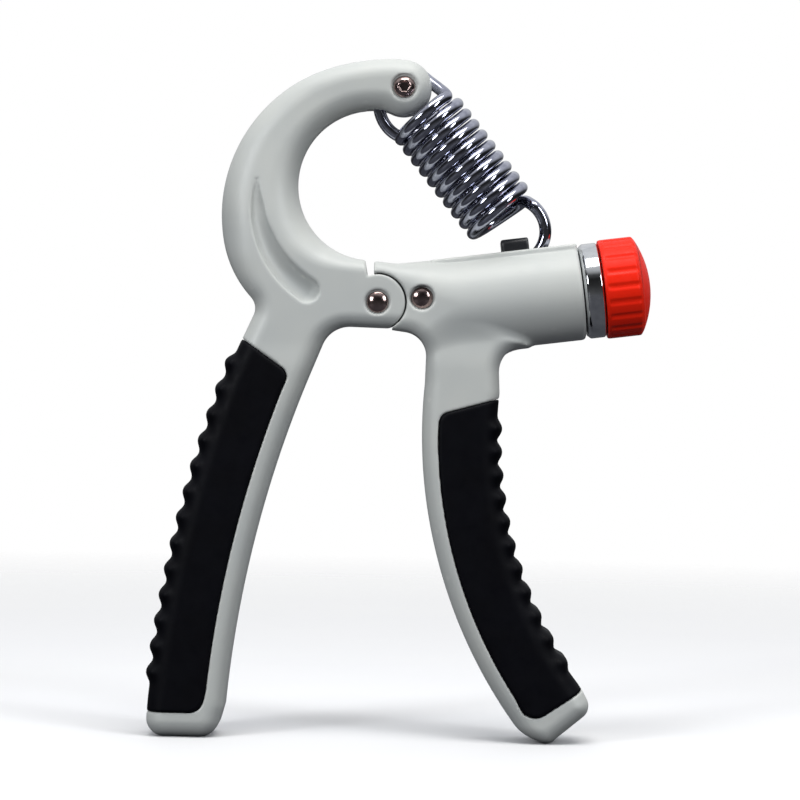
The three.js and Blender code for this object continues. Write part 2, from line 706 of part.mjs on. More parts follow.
function chromeCollar() {
  const start = BARREL_MOUTH + FIT;
  const end = collarEnd;
  return ontoBarrel(turnedAlong([
    [SCREW_RADIUS + FIT, spigotStart],
    [BORE_RADIUS - FIT, spigotStart],
    [BORE_RADIUS - FIT, start],
    [COLLAR_RADIUS - 0.3, start],
    [COLLAR_RADIUS, start + 0.3],
    [COLLAR_RADIUS, end - 0.3],
    [COLLAR_RADIUS - 0.3, end],
    [SCREW_RADIUS + FIT, end],
    [SCREW_RADIUS + FIT, spigotStart],
  ], 40));
}

function thrustWasher() {
  const end = knobStart + WASHER_THICKNESS;
  return ontoBarrel(turnedAlong([
    [SCREW_RADIUS + FIT, knobStart],
    [THRUST_RADIUS, knobStart],
    [THRUST_RADIUS, end],
    [SCREW_RADIUS + FIT, end],
    [SCREW_RADIUS + FIT, knobStart],
  ]));
}

function knob() {
  const start = knobStart;
  const end = start + KNOB_LENGTH;
  let body = solidOf(turnedAlong([
    [0, start],
    [KNOB_RADIUS - 0.4, start],
    [KNOB_RADIUS, start + 0.4],
    [KNOB_RADIUS, end - KNOB_DOME],
    [KNOB_RADIUS - 1.2, end - KNOB_DOME + 1.2],
    [KNOB_RADIUS * 0.66, end - 0.7],
    [0, end],
  ], 2 * KNOB_FLUTES));
  for (let i = 0; i < KNOB_FLUTES; i += 1) {
    const groove = pinAlong(FLUTE_RADIUS, start - 1, end + 1, 8).translate(0, 0, KNOB_RADIUS + 0.4);
    body = body.subtract(solidOf(groove.rotateX(((i + 0.5) * 2 * Math.PI) / KNOB_FLUTES)));
  }
  body = body.subtract(solidOf(pinAlong(THRUST_RADIUS + FIT, start - 1, start + WASHER_THICKNESS + FIT)));
  body = body.subtract(solidOf(pinAlong(HEX_RADIUS + FIT, start, headStart + HEX_LENGTH + FIT, 6)));
  return ontoBarrel(geometryOf(body));
}

function sliderNut() {
  const start = SLIDER_AT - SLIDER_LENGTH / 2;
  const end = SLIDER_AT + SLIDER_LENGTH / 2;
  const lugTop = BARREL_RADIUS + LUG_RISE;
  const lugStart = SLIDER_AT - LUG_LENGTH / 2;
  const bridge = lugTop - LUG_BRIDGE;
  let nut = solidOf(pinAlong(BORE_RADIUS - FIT, start, end));
  nut = nut.add(solidOf(block([lugStart, -LUG_WIDTH / 2, 3], [lugStart + LUG_LENGTH, LUG_WIDTH / 2, lugTop])));
  const channelHalf = WIRE / 2 + WIRE_PLAY;
  const channel = outline([
    { x: start - 1, z: SCREW_RADIUS + 1 },
    { x: end + 1, z: SCREW_RADIUS + 1 },
    { x: end + 1, z: bridge + 0.8 },
    { x: SLIDER_AT + LUG_LENGTH / 2, z: bridge + 0.8 },
    { x: SLIDER_AT + LUG_LENGTH / 2 - 0.8, z: bridge },
    { x: SLIDER_AT - LUG_LENGTH / 2 + 0.8, z: bridge },
    { x: SLIDER_AT - LUG_LENGTH / 2, z: bridge + 0.8 },
    { x: start - 1, z: bridge + 0.8 },
  ]);
  nut = nut.subtract(solidOf(plate(channel, 2 * channelHalf)));
  nut = nut.subtract(solidOf(pinAlong(SCREW_RADIUS + FIT, start - 1, end + 1, 20)));
  return ontoBarrel(geometryOf(nut));
}

// ---------------------------------------------------------------- assembly

piece('left_arm', leftArm(), PLASTIC);
piece('left_grip_pad', leftPad(), RUBBER);
piece('right_handle', rightHandle(), PLASTIC);
piece('right_grip_pad', rightPad(), RUBBER);
piece('hinge_tongue', hingeTongue(), STEEL);
piece('pivot_rivet', rivet({ x: 0, z: 0 }), CHROME);
piece('tongue_rivet', rivet(TONGUE_RIVET), CHROME);
piece('pivot_washer_front', washer(-1), STEEL);
piece('pivot_washer_rear', washer(1), STEEL);
piece('spring_pin_screw', pinScrew(), CHROME);
piece('spring_pin_nut', pinNut(), CHROME);
piece('spring_pin_sleeve', pinSleeve(), STEEL);
piece('tension_spring', springCoils(), CHROME);
piece('tension_spring_lower_hook', springLowerHook(), CHROME);
piece('slider_nut', sliderNut(), BLACK_NYLON);
piece('lead_screw', leadScrew(), STEEL);
piece('retaining_clip', retainingClip(), STEEL);
piece('screw_bushing', screwBushing(), BLACK_NYLON);
piece('chrome_collar', chromeCollar(), CHROME);
piece('thrust_washer', thrustWasher(), STEEL);
piece('knob', knob(), RED_PLASTIC);

// The feet stand on z = 0 and the box is centred on the origin.
const box = new THREE.Box3().setFromObject(grip, true);
grip.position.set(-(box.min.x + box.max.x) / 2, -(box.min.y + box.max.y) / 2, -box.min.z);

export default grip;
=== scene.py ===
"""Adjustable hand grip strengthener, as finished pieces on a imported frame.

Two moulded halves turn on a riveted hinge. A tension spring hangs from the arch's tip and pulls on a
slider inside the barrel, and the knob's screw moves that slider. Sizes are in millimetres, measured
from the main pivot, with +X to the knob, +Y to the rear and +Z up. Each mesh is moved to the frame and
turned into metres when its object is made.
"""

from __future__ import annotations

import logging
import math
from abc import ABC, abstractmethod
from collections.abc import Callable, Sequence
from dataclasses import dataclass, field
from enum import Enum

import bpy
import numpy as np
from mathutils import Matrix, Vector


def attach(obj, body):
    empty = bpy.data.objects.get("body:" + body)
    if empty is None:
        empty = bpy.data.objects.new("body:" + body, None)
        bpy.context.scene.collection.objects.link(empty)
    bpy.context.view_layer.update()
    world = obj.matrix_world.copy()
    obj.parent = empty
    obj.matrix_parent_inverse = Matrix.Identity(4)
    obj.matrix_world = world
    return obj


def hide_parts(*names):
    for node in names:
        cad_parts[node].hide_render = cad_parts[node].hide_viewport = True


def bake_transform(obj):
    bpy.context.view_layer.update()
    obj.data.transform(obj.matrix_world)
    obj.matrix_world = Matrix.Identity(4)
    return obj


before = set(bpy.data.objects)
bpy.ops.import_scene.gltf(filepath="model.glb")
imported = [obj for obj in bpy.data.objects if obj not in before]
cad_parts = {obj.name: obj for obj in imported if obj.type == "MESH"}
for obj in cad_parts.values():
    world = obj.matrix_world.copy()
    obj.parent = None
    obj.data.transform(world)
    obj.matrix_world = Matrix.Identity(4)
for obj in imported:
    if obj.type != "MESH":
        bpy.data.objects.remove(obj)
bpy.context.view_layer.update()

LOG = logging.getLogger("hand_grip")

Array = np.ndarray
Point = tuple[float, float]
Field = Callable[[Array, Array, Array], Array]

MM = 0.001
PIVOT_X = -5.8092
PIVOT_HEIGHT = 98.9
WIRE = 2.75
FIT = 0.3


class Body(Enum):
    """Bodies of the frame that pieces ride on."""

    RIGHT_HANDLE = "right_handle"
    LEFT_ARM = "left_arm"
    SPRING_PIN = "spring_pin"
    SPRING = "spring"
    SPRING_HOOK = "spring_hook"
    KNOB = "knob"
    SLIDER = "slider"


class Slot(Enum):
    """Material slots that pieces take their finish from."""

    GREY_PLASTIC = "grey_plastic"
    BLACK_RUBBER = "black_rubber"
    POLISHED_STEEL = "polished_steel"
    ZINC_STEEL = "zinc_steel"
    CHROMED_WIRE = "chromed_wire"
    CHROME = "chrome"
    BLACK_NYLON = "black_nylon"
    RED_PLASTIC = "red_plastic"


class Side(Enum):
    """Which of its sides an arc of a handle is on, seen from the arc's centre."""

    LEFT = -1
    RIGHT = 1


# ---------------------------------------------------------------- outlines of the front view


@dataclass(frozen=True)
class Circle:
    """A circle of the front view."""

    x: float
    z: float
    r: float

    def at(self, degrees: float) -> Point:
        """Point of the circle at an angle from +X."""
        angle = math.radians(degrees)
        return self.x + self.r * math.cos(angle), self.z + self.r * math.sin(angle)

    def arc(self, start: float, end: float, chord: float = 0.8) -> list[Point]:
        """Points along the circle.

        Args:
            start: First angle in degrees.
            end: Last angle, past the first in either sense.
            chord: Longest step between points.

        Returns:
            The points from start to end, both included.
        """
        length = abs(math.radians(end - start)) * self.r
        count = max(3, math.ceil(length / chord))
        return [self.at(start + (end - start) * i / count) for i in range(count + 1)]

    def angle_at(self, z: float, side: Side = Side.LEFT) -> float:
        """Angle of the circle's left or right side at a height."""
        up = math.degrees(math.asin((z - self.z) / self.r))
        return up if side is Side.RIGHT else 180.0 - up

    def flank(self, start: float, end: float) -> list[Point]:
        """Points of the circle's left side between two heights."""
        return self.arc(self.angle_at(start), self.angle_at(end))

    def resized(self, change: float) -> "Circle":
        """The same centre with another radius."""
        return Circle(self.x, self.z, self.r + change)


@dataclass(frozen=True)
class Corner:
    """A rounded corner of an outline."""

    x: float
    z: float
    radius: float


def rounded(points: Sequence[Point | Corner]) -> Array:
    """Closed outline from points, with its corners rounded.

    Args:
        points: Plain points stay as they are, and corners are rounded off.

    Returns:
        The outline's points, one per row.
    """
    bare = [np.array((p.x, p.z) if isinstance(p, Corner) else p, float) for p in points]
    path: list[Array] = []
    for i, corner in enumerate(points):
        if not isinstance(corner, Corner):
            path.append(bare[i])
            continue
        back = bare[i - 1] - bare[i]
        ahead = bare[(i + 1) % len(bare)] - bare[i]
        back /= np.linalg.norm(back)
        ahead /= np.linalg.norm(ahead)
        half = math.acos(max(-1.0, min(1.0, float(back @ ahead)))) / 2
        reach = corner.radius / math.tan(half)
        middle = (back + ahead) / np.linalg.norm(back + ahead)
        centre = bare[i] + middle * corner.radius / math.sin(half)
        first = bare[i] + back * reach - centre
        last = bare[i] + ahead * reach - centre
        start = math.atan2(first[1], first[0])
        turn = math.atan2(last[1], last[0]) - start
        turn = math.atan2(math.sin(turn), math.cos(turn))
        count = max(3, math.ceil(abs(turn) * corner.radius / 0.5))
        for k in range(count + 1):
            angle = start + turn * k / count
            path.append(centre + corner.radius * np.array((math.cos(angle), math.sin(angle))))
    return np.array(path)


class Region:
    """Signed distance to a closed outline, less than nothing inside, smooth between samples."""

    def __init__(self, outline: Array, margin: float = 5.0, cell: float = 0.5) -> None:
        """Samples the distance on a grid round the outline.

        Args:
            outline: The outline's points, one per row.
            margin: How far the grid goes past the outline.
            cell: The grid's step.
        """
        self.cell = cell
        self.low = outline.min(axis=0) - margin
        counts = np.ceil((outline.max(axis=0) + margin - self.low) / cell).astype(int) + 1
        self.high = self.low + cell * (counts - 1)
        xs = self.low[0] + cell * np.arange(counts[0])
        zs = self.low[1] + cell * np.arange(counts[1])
        grid = np.stack(np.meshgrid(xs, zs, indexing="ij"), axis=-1).reshape(-1, 2)
        parts = np.array_split(grid, 1 + len(grid) // 4000)
        values = np.concatenate([self._measure(part, outline) for part in parts])
        self.grid = np.pad(values.reshape(counts[0], counts[1]), 2, mode="edge")

    @staticmethod
    def _measure(points: Array, outline: Array) -> Array:
        """Exact signed distance of points to the outline.

        Args:
            points: The points, one per row.
            outline: The outline's points, one per row.

        Returns:
            The distance of each point, less than nothing inside.
        """
        start, end = outline, np.roll(outline, -1, axis=0)
        run = end - start
        length = np.maximum((run**2).sum(axis=1), 1e-12)
        gap = points[:, None, :] - start[None]
        share = np.clip((gap * run).sum(axis=2) / length, 0.0, 1.0)
        away = gap - share[..., None] * run
        distance = np.sqrt((away**2).sum(axis=2).min(axis=1))
        straddles = (start[None, :, 1] > points[:, None, 1]) != (end[None, :, 1] > points[:, None, 1])
        rise = np.where(np.abs(run[:, 1]) < 1e-12, 1e-12, run[:, 1])
        meets = start[:, 0] + (points[:, None, 1] - start[:, 1]) / rise * run[:, 0]
        inside = (straddles & (points[:, None, 0] < meets)).sum(axis=1) % 2 == 1
        return np.where(inside, -distance, distance)

    @staticmethod
    def _weights(share: Array) -> tuple[Array, Array, Array, Array]:
        """Weights of the four samples round a place between the middle two.

        Args:
            share: How far along its cell the place is, from 0 to 1.

        Returns:
            The four weights.
        """
        square, cube = share**2, share**3
        return (
            -0.5 * cube + square - 0.5 * share,
            1.5 * cube - 2.5 * square + 1.0,
            -1.5 * cube + 2.0 * square + 0.5 * share,
            0.5 * cube - 0.5 * square,
        )

    def __call__(self, x: Array, z: Array) -> Array:
        """Distance at places of the front view.

        Args:
            x: Places along X.
            z: Places along Z.

        Returns:
            The signed distance there.
        """
        u = (np.clip(x, self.low[0], self.high[0]) - self.low[0]) / self.cell
        w = (np.clip(z, self.low[1], self.high[1]) - self.low[1]) / self.cell
        i, k = np.floor(u).astype(int), np.floor(w).astype(int)
        across, upward = self._weights(u - i), self._weights(w - k)
        total = 0.0
        for a in range(4):
            for b in range(4):
                total = total + across[a] * upward[b] * self.grid[i + a + 1, k + b + 1]
        return total


# ---------------------------------------------------------------- solids as distance fields


def join(a: Array, b: Array, radius: float | Array) -> Array:
    """Both solids, with a fillet of that radius where they meet."""
    inner = np.hypot(np.maximum(radius - a, 0.0), np.maximum(radius - b, 0.0))
    return np.maximum(radius, np.minimum(a, b)) - inner


def meet(a: Array, b: Array, radius: float | Array) -> Array:
    """What two solids have in common, with its new edges rounded to that radius."""
    outer = np.hypot(np.maximum(radius + a, 0.0), np.maximum(radius + b, 0.0))
    return np.minimum(-radius, np.maximum(a, b)) + outer


def cut(a: Array, b: Array, radius: float | Array) -> Array:
    """The first solid without the second, with its new edges rounded."""
    return meet(a, -b, radius)


def ramp(low: float, high: float, value: Array) -> Array:
    """Smooth step from 0 at low to 1 at high."""
    share = np.clip((value - low) / (high - low), 0.0, 1.0)
    return share * share * (3.0 - 2.0 * share)


def slab(low: float, high: float, value: Array) -> Array:
    """Distance to the space between two parallel planes."""
    return np.abs(value - (low + high) / 2) - (high - low) / 2


def cross_pin(at: Point, radius: float, x: Array, z: Array) -> Array:
    """Distance to an endless round pin on the Y axis through a point."""
    return np.hypot(x - at[0], z - at[1]) - radius


def stadium(a: Point, b: Point, radius: float, x: Array, z: Array) -> Array:
    """Distance to a long hole between two points of the front view.

    Args:
        a: Centre of one end.
        b: Centre of the other end.
        radius: The ends' radius.
        x: Places along X.
        z: Places along Z.

    Returns:
        The signed distance.
    """
    run = (b[0] - a[0], b[1] - a[1])
    share = ((x - a[0]) * run[0] + (z - a[1]) * run[1]) / (run[0] ** 2 + run[1] ** 2)
    share = np.clip(share, 0.0, 1.0)
    return np.hypot(x - a[0] - share * run[0], z - a[1] - share * run[1]) - radius


def hexagon(radius: float, u: Array, v: Array) -> Array:
    """Distance to a hexagonal bar of that corner radius.

    Args:
        radius: Radius of the corners.
        u: Places across the bar.
        v: Places across the bar, square to u.

    Returns:
        The signed distance.
    """
    flats = radius * math.cos(math.pi / 6)
    sides = [np.abs(u * math.cos(a) + v * math.sin(a)) for a in (math.pi / 6, math.pi / 2, 5 * math.pi / 6)]
    return np.maximum(np.maximum(sides[0], sides[1]), sides[2]) - flats


@dataclass
class Shell:
    """A closed mesh: points in millimetres from the pivot, and faces."""

    points: Array
    faces: list[tuple[int, ...]]

    def outward(self) -> "Shell":
        """Turns the faces round if they point inwards.

        Returns:
            The same shell.
        """
        volume = 0.0
        for face in self.faces:
            for k in range(1, len(face) - 1):
                a, b, c = self.points[face[0]], self.points[face[k]], self.points[face[k + 1]]
                volume += float(a @ np.cross(b, c))
        if volume < 0:
            self.faces = [tuple(reversed(face)) for face in self.faces]
        return self


@dataclass(frozen=True)
class Skinner:
    """Turns a distance field into a smooth closed mesh of small quads."""

    step: float

    def skin(self, solid: Field, low: Sequence[float], high: Sequence[float]) -> Shell:
        """Meshes the surface where the field is nothing.

        Args:
            solid: The field, of x, y and z, less than nothing inside the solid.
            low: Lowest corner of a box that holds the solid with room to spare.
            high: Its highest corner.

        Returns:
            The mesh.
        """
        start = np.array(low, float)
        counts = np.ceil((np.array(high, float) - start) / self.step).astype(int) + 1
        axes = [start[i] + self.step * np.arange(counts[i]) for i in range(3)]
        values = solid(axes[0][:, None, None], axes[1][None, :, None], axes[2][None, None, :])
        values = np.ascontiguousarray(np.broadcast_to(values, counts))
        points, faces = self._net(values, start)
        return Shell(self._settle(solid, points), [tuple(face) for face in faces.tolist()])

    def _net(self, values: Array, start: Array) -> tuple[Array, Array]:
        """Puts one point in each cell that the surface crosses, and a quad round each crossed edge.

        Args:
            values: The field at the grid points.
            start: The grid's first point.

        Returns:
            The points, and the quads by their numbers.
        """
        inside = values < 0
        count = sum(
            inside[
                a : a + inside.shape[0] - 1,
                b : b + inside.shape[1] - 1,
                c : c + inside.shape[2] - 1,
            ].astype(np.int8)
            for a in (0, 1)
            for b in (0, 1)
            for c in (0, 1)
        )
        crossed = (count > 0) & (count < 8)
        number = np.full(crossed.shape, -1, dtype=np.int64)
        number[crossed] = np.arange(int(crossed.sum()))
        cells = np.argwhere(crossed)
        total = np.zeros((len(cells), 3))
        hits = np.zeros(len(cells))
        for axis in range(3):
            others = [i for i in range(3) if i != axis]
            for p in (0, 1):
                for q in (0, 1):
                    near = np.zeros(3, int)
                    near[others[0]], near[others[1]] = p, q
                    far = near.copy()
                    far[axis] = 1
                    a = values[tuple((cells + near).T)]
                    b = values[tuple((cells + far).T)]
                    hit = (a < 0) != (b < 0)
                    share = np.where(hit, a / np.where(hit, a - b, 1.0), 0.0)
                    place = np.tile(near.astype(float), (len(cells), 1))
                    place[:, axis] = share
                    total += place * hit[:, None]
                    hits += hit
        points = start + self.step * (cells + total / hits[:, None])
        faces = []
        for axis in range(3):
            u, v = [i for i in range(3) if i != axis]
            lower = np.take(inside, range(inside.shape[axis] - 1), axis=axis)
            upper = np.take(inside, range(1, inside.shape[axis]), axis=axis)
            edges = np.argwhere(lower != upper)
            edges = edges[(edges[:, u] > 0) & (edges[:, v] > 0)]
            edges = edges[(edges[:, u] < inside.shape[u] - 1) & (edges[:, v] < inside.shape[v] - 1)]
            ring = []
            for du, dv in ((1, 1), (0, 1), (0, 0), (1, 0)):
                cell = edges.copy()
                cell[:, u] -= du
                cell[:, v] -= dv
                ring.append(number[tuple(cell.T)])
            quads = np.stack(ring, axis=1)
            forward = lower[tuple(edges.T)]
            if axis == 1:
                forward = ~forward
            faces.append(np.where(forward[:, None], quads, quads[:, ::-1]))
        return points, np.concatenate(faces)

    def _settle(self, solid: Field, points: Array) -> Array:
        """Moves the points onto the surface along the field's slope.

        Args:
            solid: The field.
            points: The points, one per row.

        Returns:
            The moved points.
        """
        h = 0.04
        for _ in range(3):
            x, y, z = points.T
            slope = np.stack(
                [
                    solid(x + h, y, z) - solid(x - h, y, z),
                    solid(x, y + h, z) - solid(x, y - h, z),
                    solid(x, y, z + h) - solid(x, y, z - h),
                ],
                axis=1,
            ) / (2 * h)
            move = solid(x, y, z) / np.maximum((slope**2).sum(axis=1), 0.3)
            move = np.clip(move, -0.5 * self.step, 0.5 * self.step)
            points = points - move[:, None] * slope
        return points


# ---------------------------------------------------------------- turned and swept pieces


@dataclass(frozen=True)
class Barrel:
    """The barrel's tilted axis, as a frame of its own."""

    drop: float = -2.72
    tilt: float = 7.65
    radius: float = 10.9
    bore: float = 7.6
    start: float = 17.0
    mouth: float = 46.6

    def point(self, along: float, above: float) -> Point:
        """Point of the front view, from its place along and above the axis."""
        c, s = math.cos(math.radians(self.tilt)), math.sin(math.radians(self.tilt))
        return along * c - above * s, self.drop + along * s + above * c

    def local(self, x: Array, z: Array) -> tuple[Array, Array]:
        """Place along and above the axis, from a place of the front view."""
        c, s = math.cos(math.radians(self.tilt)), math.sin(math.radians(self.tilt))
        return x * c + (z - self.drop) * s, -x * s + (z - self.drop) * c

    def put(self, local: Array) -> Array:
        """Moves points given as along, rear and above onto the axis.

        Args:
            local: The points, one per row.

        Returns:
            The points in the front view's frame.
        """
        c, s = math.cos(math.radians(self.tilt)), math.sin(math.radians(self.tilt))
        along, rear, above = local.T
        return np.stack([along * c - above * s, rear, self.drop + along * s + above * c], axis=1)


BARREL = Barrel()


@dataclass(frozen=True)
class Lathe:
    """Turns profiles of (radius, along) points into closed meshes."""

    segments: int = 96

    def turn(
        self,
        profile: Array,
        shape: Callable[[Array, Array, Array], Array] | None = None,
        ring: bool = False,
    ) -> Shell:
        """Turns a profile about its axis.

        Args:
            profile: Points of radius and place along the axis, from axis to axis, or a closed loop.
            shape: Changes the radius, given the radius, the place along and the angle.
            ring: True for a closed loop that stays clear of the axis.

        Returns:
            The mesh, along its own first axis.
        """
        turn = 2 * math.pi * np.arange(self.segments) / self.segments
        inner = profile if ring else profile[1:-1]
        radius = np.repeat(inner[:, :1], self.segments, axis=1)
        along = np.repeat(inner[:, 1:], self.segments, axis=1)
        angle = np.repeat(turn[None], len(inner), axis=0)
        if shape is not None:
            radius = shape(radius, along, angle)
        rows = np.stack([along, radius * np.cos(angle), radius * np.sin(angle)], axis=-1).reshape(-1, 3)
        n, m = self.segments, len(inner)
        faces: list[tuple[int, ...]] = []
        for i in range(m if ring else m - 1):
            j = (i + 1) % m
            faces += [(i * n + k, i * n + (k + 1) % n, j * n + (k + 1) % n, j * n + k) for k in range(n)]
        if not ring:
            ends = np.array([[profile[0, 1], 0, 0], [profile[-1, 1], 0, 0]])
            first, last = len(rows), len(rows) + 1
            rows = np.concatenate([rows, ends])
            faces += [(first, (k + 1) % n, k) for k in range(n)]
            base = (m - 1) * n
            faces += [(last, base + k, base + (k + 1) % n) for k in range(n)]
        return Shell(rows, faces)

    @staticmethod
    def on_barrel(shell: Shell) -> Shell:
        """Puts a turned mesh on the barrel's axis."""
        return Shell(BARREL.put(shell.points), shell.faces).outward()

    @staticmethod
    def across(shell: Shell, at: Point) -> Shell:
        """Puts a turned mesh on a Y axis through a point of the front view."""
        along, u, v = shell.points.T
        return Shell(np.stack([u + at[0], along, v + at[1]], axis=1), shell.faces).outward()


def soft_profile(points: Sequence[tuple[float, float]], radius: float, ring: bool = False) -> Array:
    """Profile with its corners rounded.

    Args:
        points: Points of radius and place along.
        radius: Largest rounding of a corner.
        ring: True for a closed loop, where each corner is rounded.

    Returns:
        The profile's points, one per row.
    """
    bare = [np.array(p, float) for p in points]
    count = len(bare)
    path: list[Array] = []
    for i in range(count):
        if not ring and i in (0, count - 1):
            path.append(bare[i])
            continue
        back, ahead = bare[i - 1] - bare[i], bare[(i + 1) % count] - bare[i]
        reach = min(radius, 0.45 * float(np.linalg.norm(back)), 0.45 * float(np.linalg.norm(ahead)))
        a = bare[i] + back / np.linalg.norm(back) * reach
        b = bare[i] + ahead / np.linalg.norm(ahead) * reach
        for share in (0.0, 0.25, 0.5, 0.75, 1.0):
            path.append((1 - share) ** 2 * a + 2 * share * (1 - share) * bare[i] + share**2 * b)
    return np.array(path)


def follow(points: Array, spacing: float) -> Array:
    """Smooth path through points, at even spacing.

    Args:
        points: Points that the path passes near, one per row.
        spacing: Step along the path.

    Returns:
        The path's points.
    """
    padded = np.concatenate([2 * points[:1] - points[1:2], points, 2 * points[-1:] - points[-2:-1]])
    fine = []
    for i in range(1, len(padded) - 2):
        a, b, c, d = padded[i - 1 : i + 3]
        share = np.linspace(0, 1, 12, endpoint=False)[:, None]
        fine.append(
            0.5
            * (
                2 * b
                + (c - a) * share
                + (2 * a - 5 * b + 4 * c - d) * share**2
                + (3 * b - a - 3 * c + d) * share**3
            )
        )
    path = np.concatenate([*fine, points[-1:]])
    travelled = np.concatenate([[0.0], np.cumsum(np.linalg.norm(np.diff(path, axis=0), axis=1))])
    count = max(2, round(travelled[-1] / spacing))
    stops = np.linspace(0, travelled[-1], count + 1)
    return np.stack([np.interp(stops, travelled, path[:, k]) for k in range(3)], axis=1)


def sweep(path: Array, radius: float, sides: int, bevel: float = 0.25) -> Shell:
    """Round wire along a path, with its ends cut square and slightly bevelled.

    Args:
        path: Points of the wire's centre line.
        radius: Radius of the wire.
        sides: Number of sides.
        bevel: Size of the bevel at each end.

    Returns:
        The mesh.
    """
    tangent = np.gradient(path, axis=0)
    tangent /= np.linalg.norm(tangent, axis=1, keepdims=True)
    normal = np.cross(tangent[0], (0.0, 1.0, 0.0))
    if np.linalg.norm(normal) < 1e-3:
        normal = np.cross(tangent[0], (1.0, 0.0, 0.0))
    normal /= np.linalg.norm(normal)
    angle = 2 * math.pi * np.arange(sides) / sides
    rings = []
    for i, along in enumerate(tangent):
        normal = normal - along * (normal @ along)
        normal /= np.linalg.norm(normal)
        side = np.cross(along, normal)
        around = np.cos(angle)[:, None] * normal + np.sin(angle)[:, None] * side
        if i == 0:
            rings.append(path[0] - along * bevel + around * (radius - bevel))
        rings.append(path[i] + around * radius)
        if i == len(tangent) - 1:
            rings.append(path[-1] + along * bevel + around * (radius - bevel))
    count = len(rings)
    faces: list[tuple[int, ...]] = [
        (i * sides + k, i * sides + (k + 1) % sides, (i + 1) * sides + (k + 1) % sides, (i + 1) * sides + k)
        for i in range(count - 1)
        for k in range(sides)
    ]
    points = np.concatenate([*rings, path[:1] - tangent[:1] * bevel, path[-1:] + tangent[-1:] * bevel])
    first, last = count * sides, count * sides + 1
    faces += [(first, (k + 1) % sides, k) for k in range(sides)]
    base = (count - 1) * sides
    faces += [(last, base + k, base + (k + 1) % sides) for k in range(sides)]
    return Shell(points, faces).outward()


# ---------------------------------------------------------------- finishes


class Graph:
    """A material's nodes, made with short calls."""

    def __init__(self, name: str) -> None:
        """Starts an empty material with a place for its surface.

        Args:
            name: Name of the material.
        """
        self.material = bpy.data.materials.new(name)
        self.material.use_nodes = True
        self.tree = self.material.node_tree
        self.tree.nodes.clear()
        self.output = self.add("ShaderNodeOutputMaterial")
        self.surface = self.add("ShaderNodeBsdfPrincipled")
        self.link(self.surface.outputs["BSDF"], self.output.inputs["Surface"])
        place = self.add("ShaderNodeTexCoord")
        scale = self.add("ShaderNodeMapping")
        scale.inputs["Scale"].default_value = (1000.0, 1000.0, 1000.0)
        self.link(place.outputs["Object"], scale.inputs["Vector"])
        self.place = scale.outputs["Vector"]

    def add(self, kind: str, **settings: object) -> bpy.types.Node:
        """Adds a node and sets its plain properties.

        Args:
            kind: The node's type.
            **settings: Its plain properties.

        Returns:
            The node.
        """
        node = self.tree.nodes.new(kind)
        for key, value in settings.items():
            setattr(node, key, value)
        return node

    def link(self, start: bpy.types.NodeSocket, end: bpy.types.NodeSocket) -> None:
        """Joins an output to an input."""
        self.tree.links.new(start, end)

    def noise(
        self, per_mm: float, detail: float = 3.0, rough: float = 0.55, stretch: Sequence[float] = (1, 1, 1)
    ) -> bpy.types.NodeSocket:
        """Noise of so many blobs per millimetre.

        Args:
            per_mm: Blobs in a millimetre.
            detail: Finer layers added to it.
            rough: Strength of those layers.
            stretch: Scale along each axis, less than 1 to draw it out.

        Returns:
            The noise's value.
        """
        node = self.add("ShaderNodeTexNoise")
        node.inputs["Scale"].default_value = per_mm
        node.inputs["Detail"].default_value = detail
        node.inputs["Roughness"].default_value = rough
        vector = self.place
        if tuple(stretch) != (1, 1, 1):
            mapping = self.add("ShaderNodeMapping")
            mapping.inputs["Scale"].default_value = tuple(stretch)
            self.link(self.place, mapping.inputs["Vector"])
            vector = mapping.outputs["Vector"]
        self.link(vector, node.inputs["Vector"])
        return node.outputs["Fac"]

    def span(
        self, value: bpy.types.NodeSocket, low: float, high: float, source: tuple[float, float] = (0.3, 0.7)
    ) -> bpy.types.NodeSocket:
        """Stretches a value from one range to another, and keeps it there.

        Args:
            value: The value.
            low: Start of the new range.
            high: End of the new range.
            source: The range that it comes from.

        Returns:
            The stretched value.
        """
        node = self.add("ShaderNodeMapRange")
        node.inputs["From Min"].default_value, node.inputs["From Max"].default_value = source
        node.inputs["To Min"].default_value, node.inputs["To Max"].default_value = low, high
        self.link(value, node.inputs["Value"])
        return node.outputs["Result"]

    def blend(
        self,
        share: bpy.types.NodeSocket,
        first: "Tone | bpy.types.NodeSocket",
        second: "Tone | bpy.types.NodeSocket",
    ) -> bpy.types.NodeSocket:
        """Mixes two colours by a share.

        Args:
            share: Share of the second colour.
            first: Colour at a share of 0.
            second: Colour at a share of 1.

        Returns:
            The mixed colour.
        """
        node = self.add("ShaderNodeMix", data_type="RGBA")
        self.link(share, node.inputs["Factor"])
        for name, colour in (("A", first), ("B", second)):
            socket = next(s for s in node.inputs if s.name == name and s.type == "RGBA")
            if isinstance(colour, Tone):
                socket.default_value = colour.rgba
            else:
                self.link(colour, socket)
        return next(s for s in node.outputs if s.type == "RGBA")

    def edge_share(self, low: float = 0.52, high: float = 0.6) -> bpy.types.NodeSocket:
        """How far a place stands out as an edge, from 0 to 1."""
        shape = self.add("ShaderNodeNewGeometry")
        return self.span(shape.outputs["Pointiness"], 0.0, 1.0, (low, high))

    def bump(self, layers: Sequence[tuple[bpy.types.NodeSocket, float, float]]) -> None:
        """Lays bumps on the surface, each a height, its strength and its depth in millimetres.

        Args:
            layers: The layers, from the first laid to the last.
        """
        normal = None
        for height, strength, depth in layers:
            node = self.add("ShaderNodeBump")
            node.inputs["Strength"].default_value = strength
            node.inputs["Distance"].default_value = depth * MM
            self.link(height, node.inputs["Height"])
            if normal is not None:
                self.link(normal, node.inputs["Normal"])
            normal = node.outputs["Normal"]
        if normal is not None:
            self.link(normal, self.surface.inputs["Normal"])


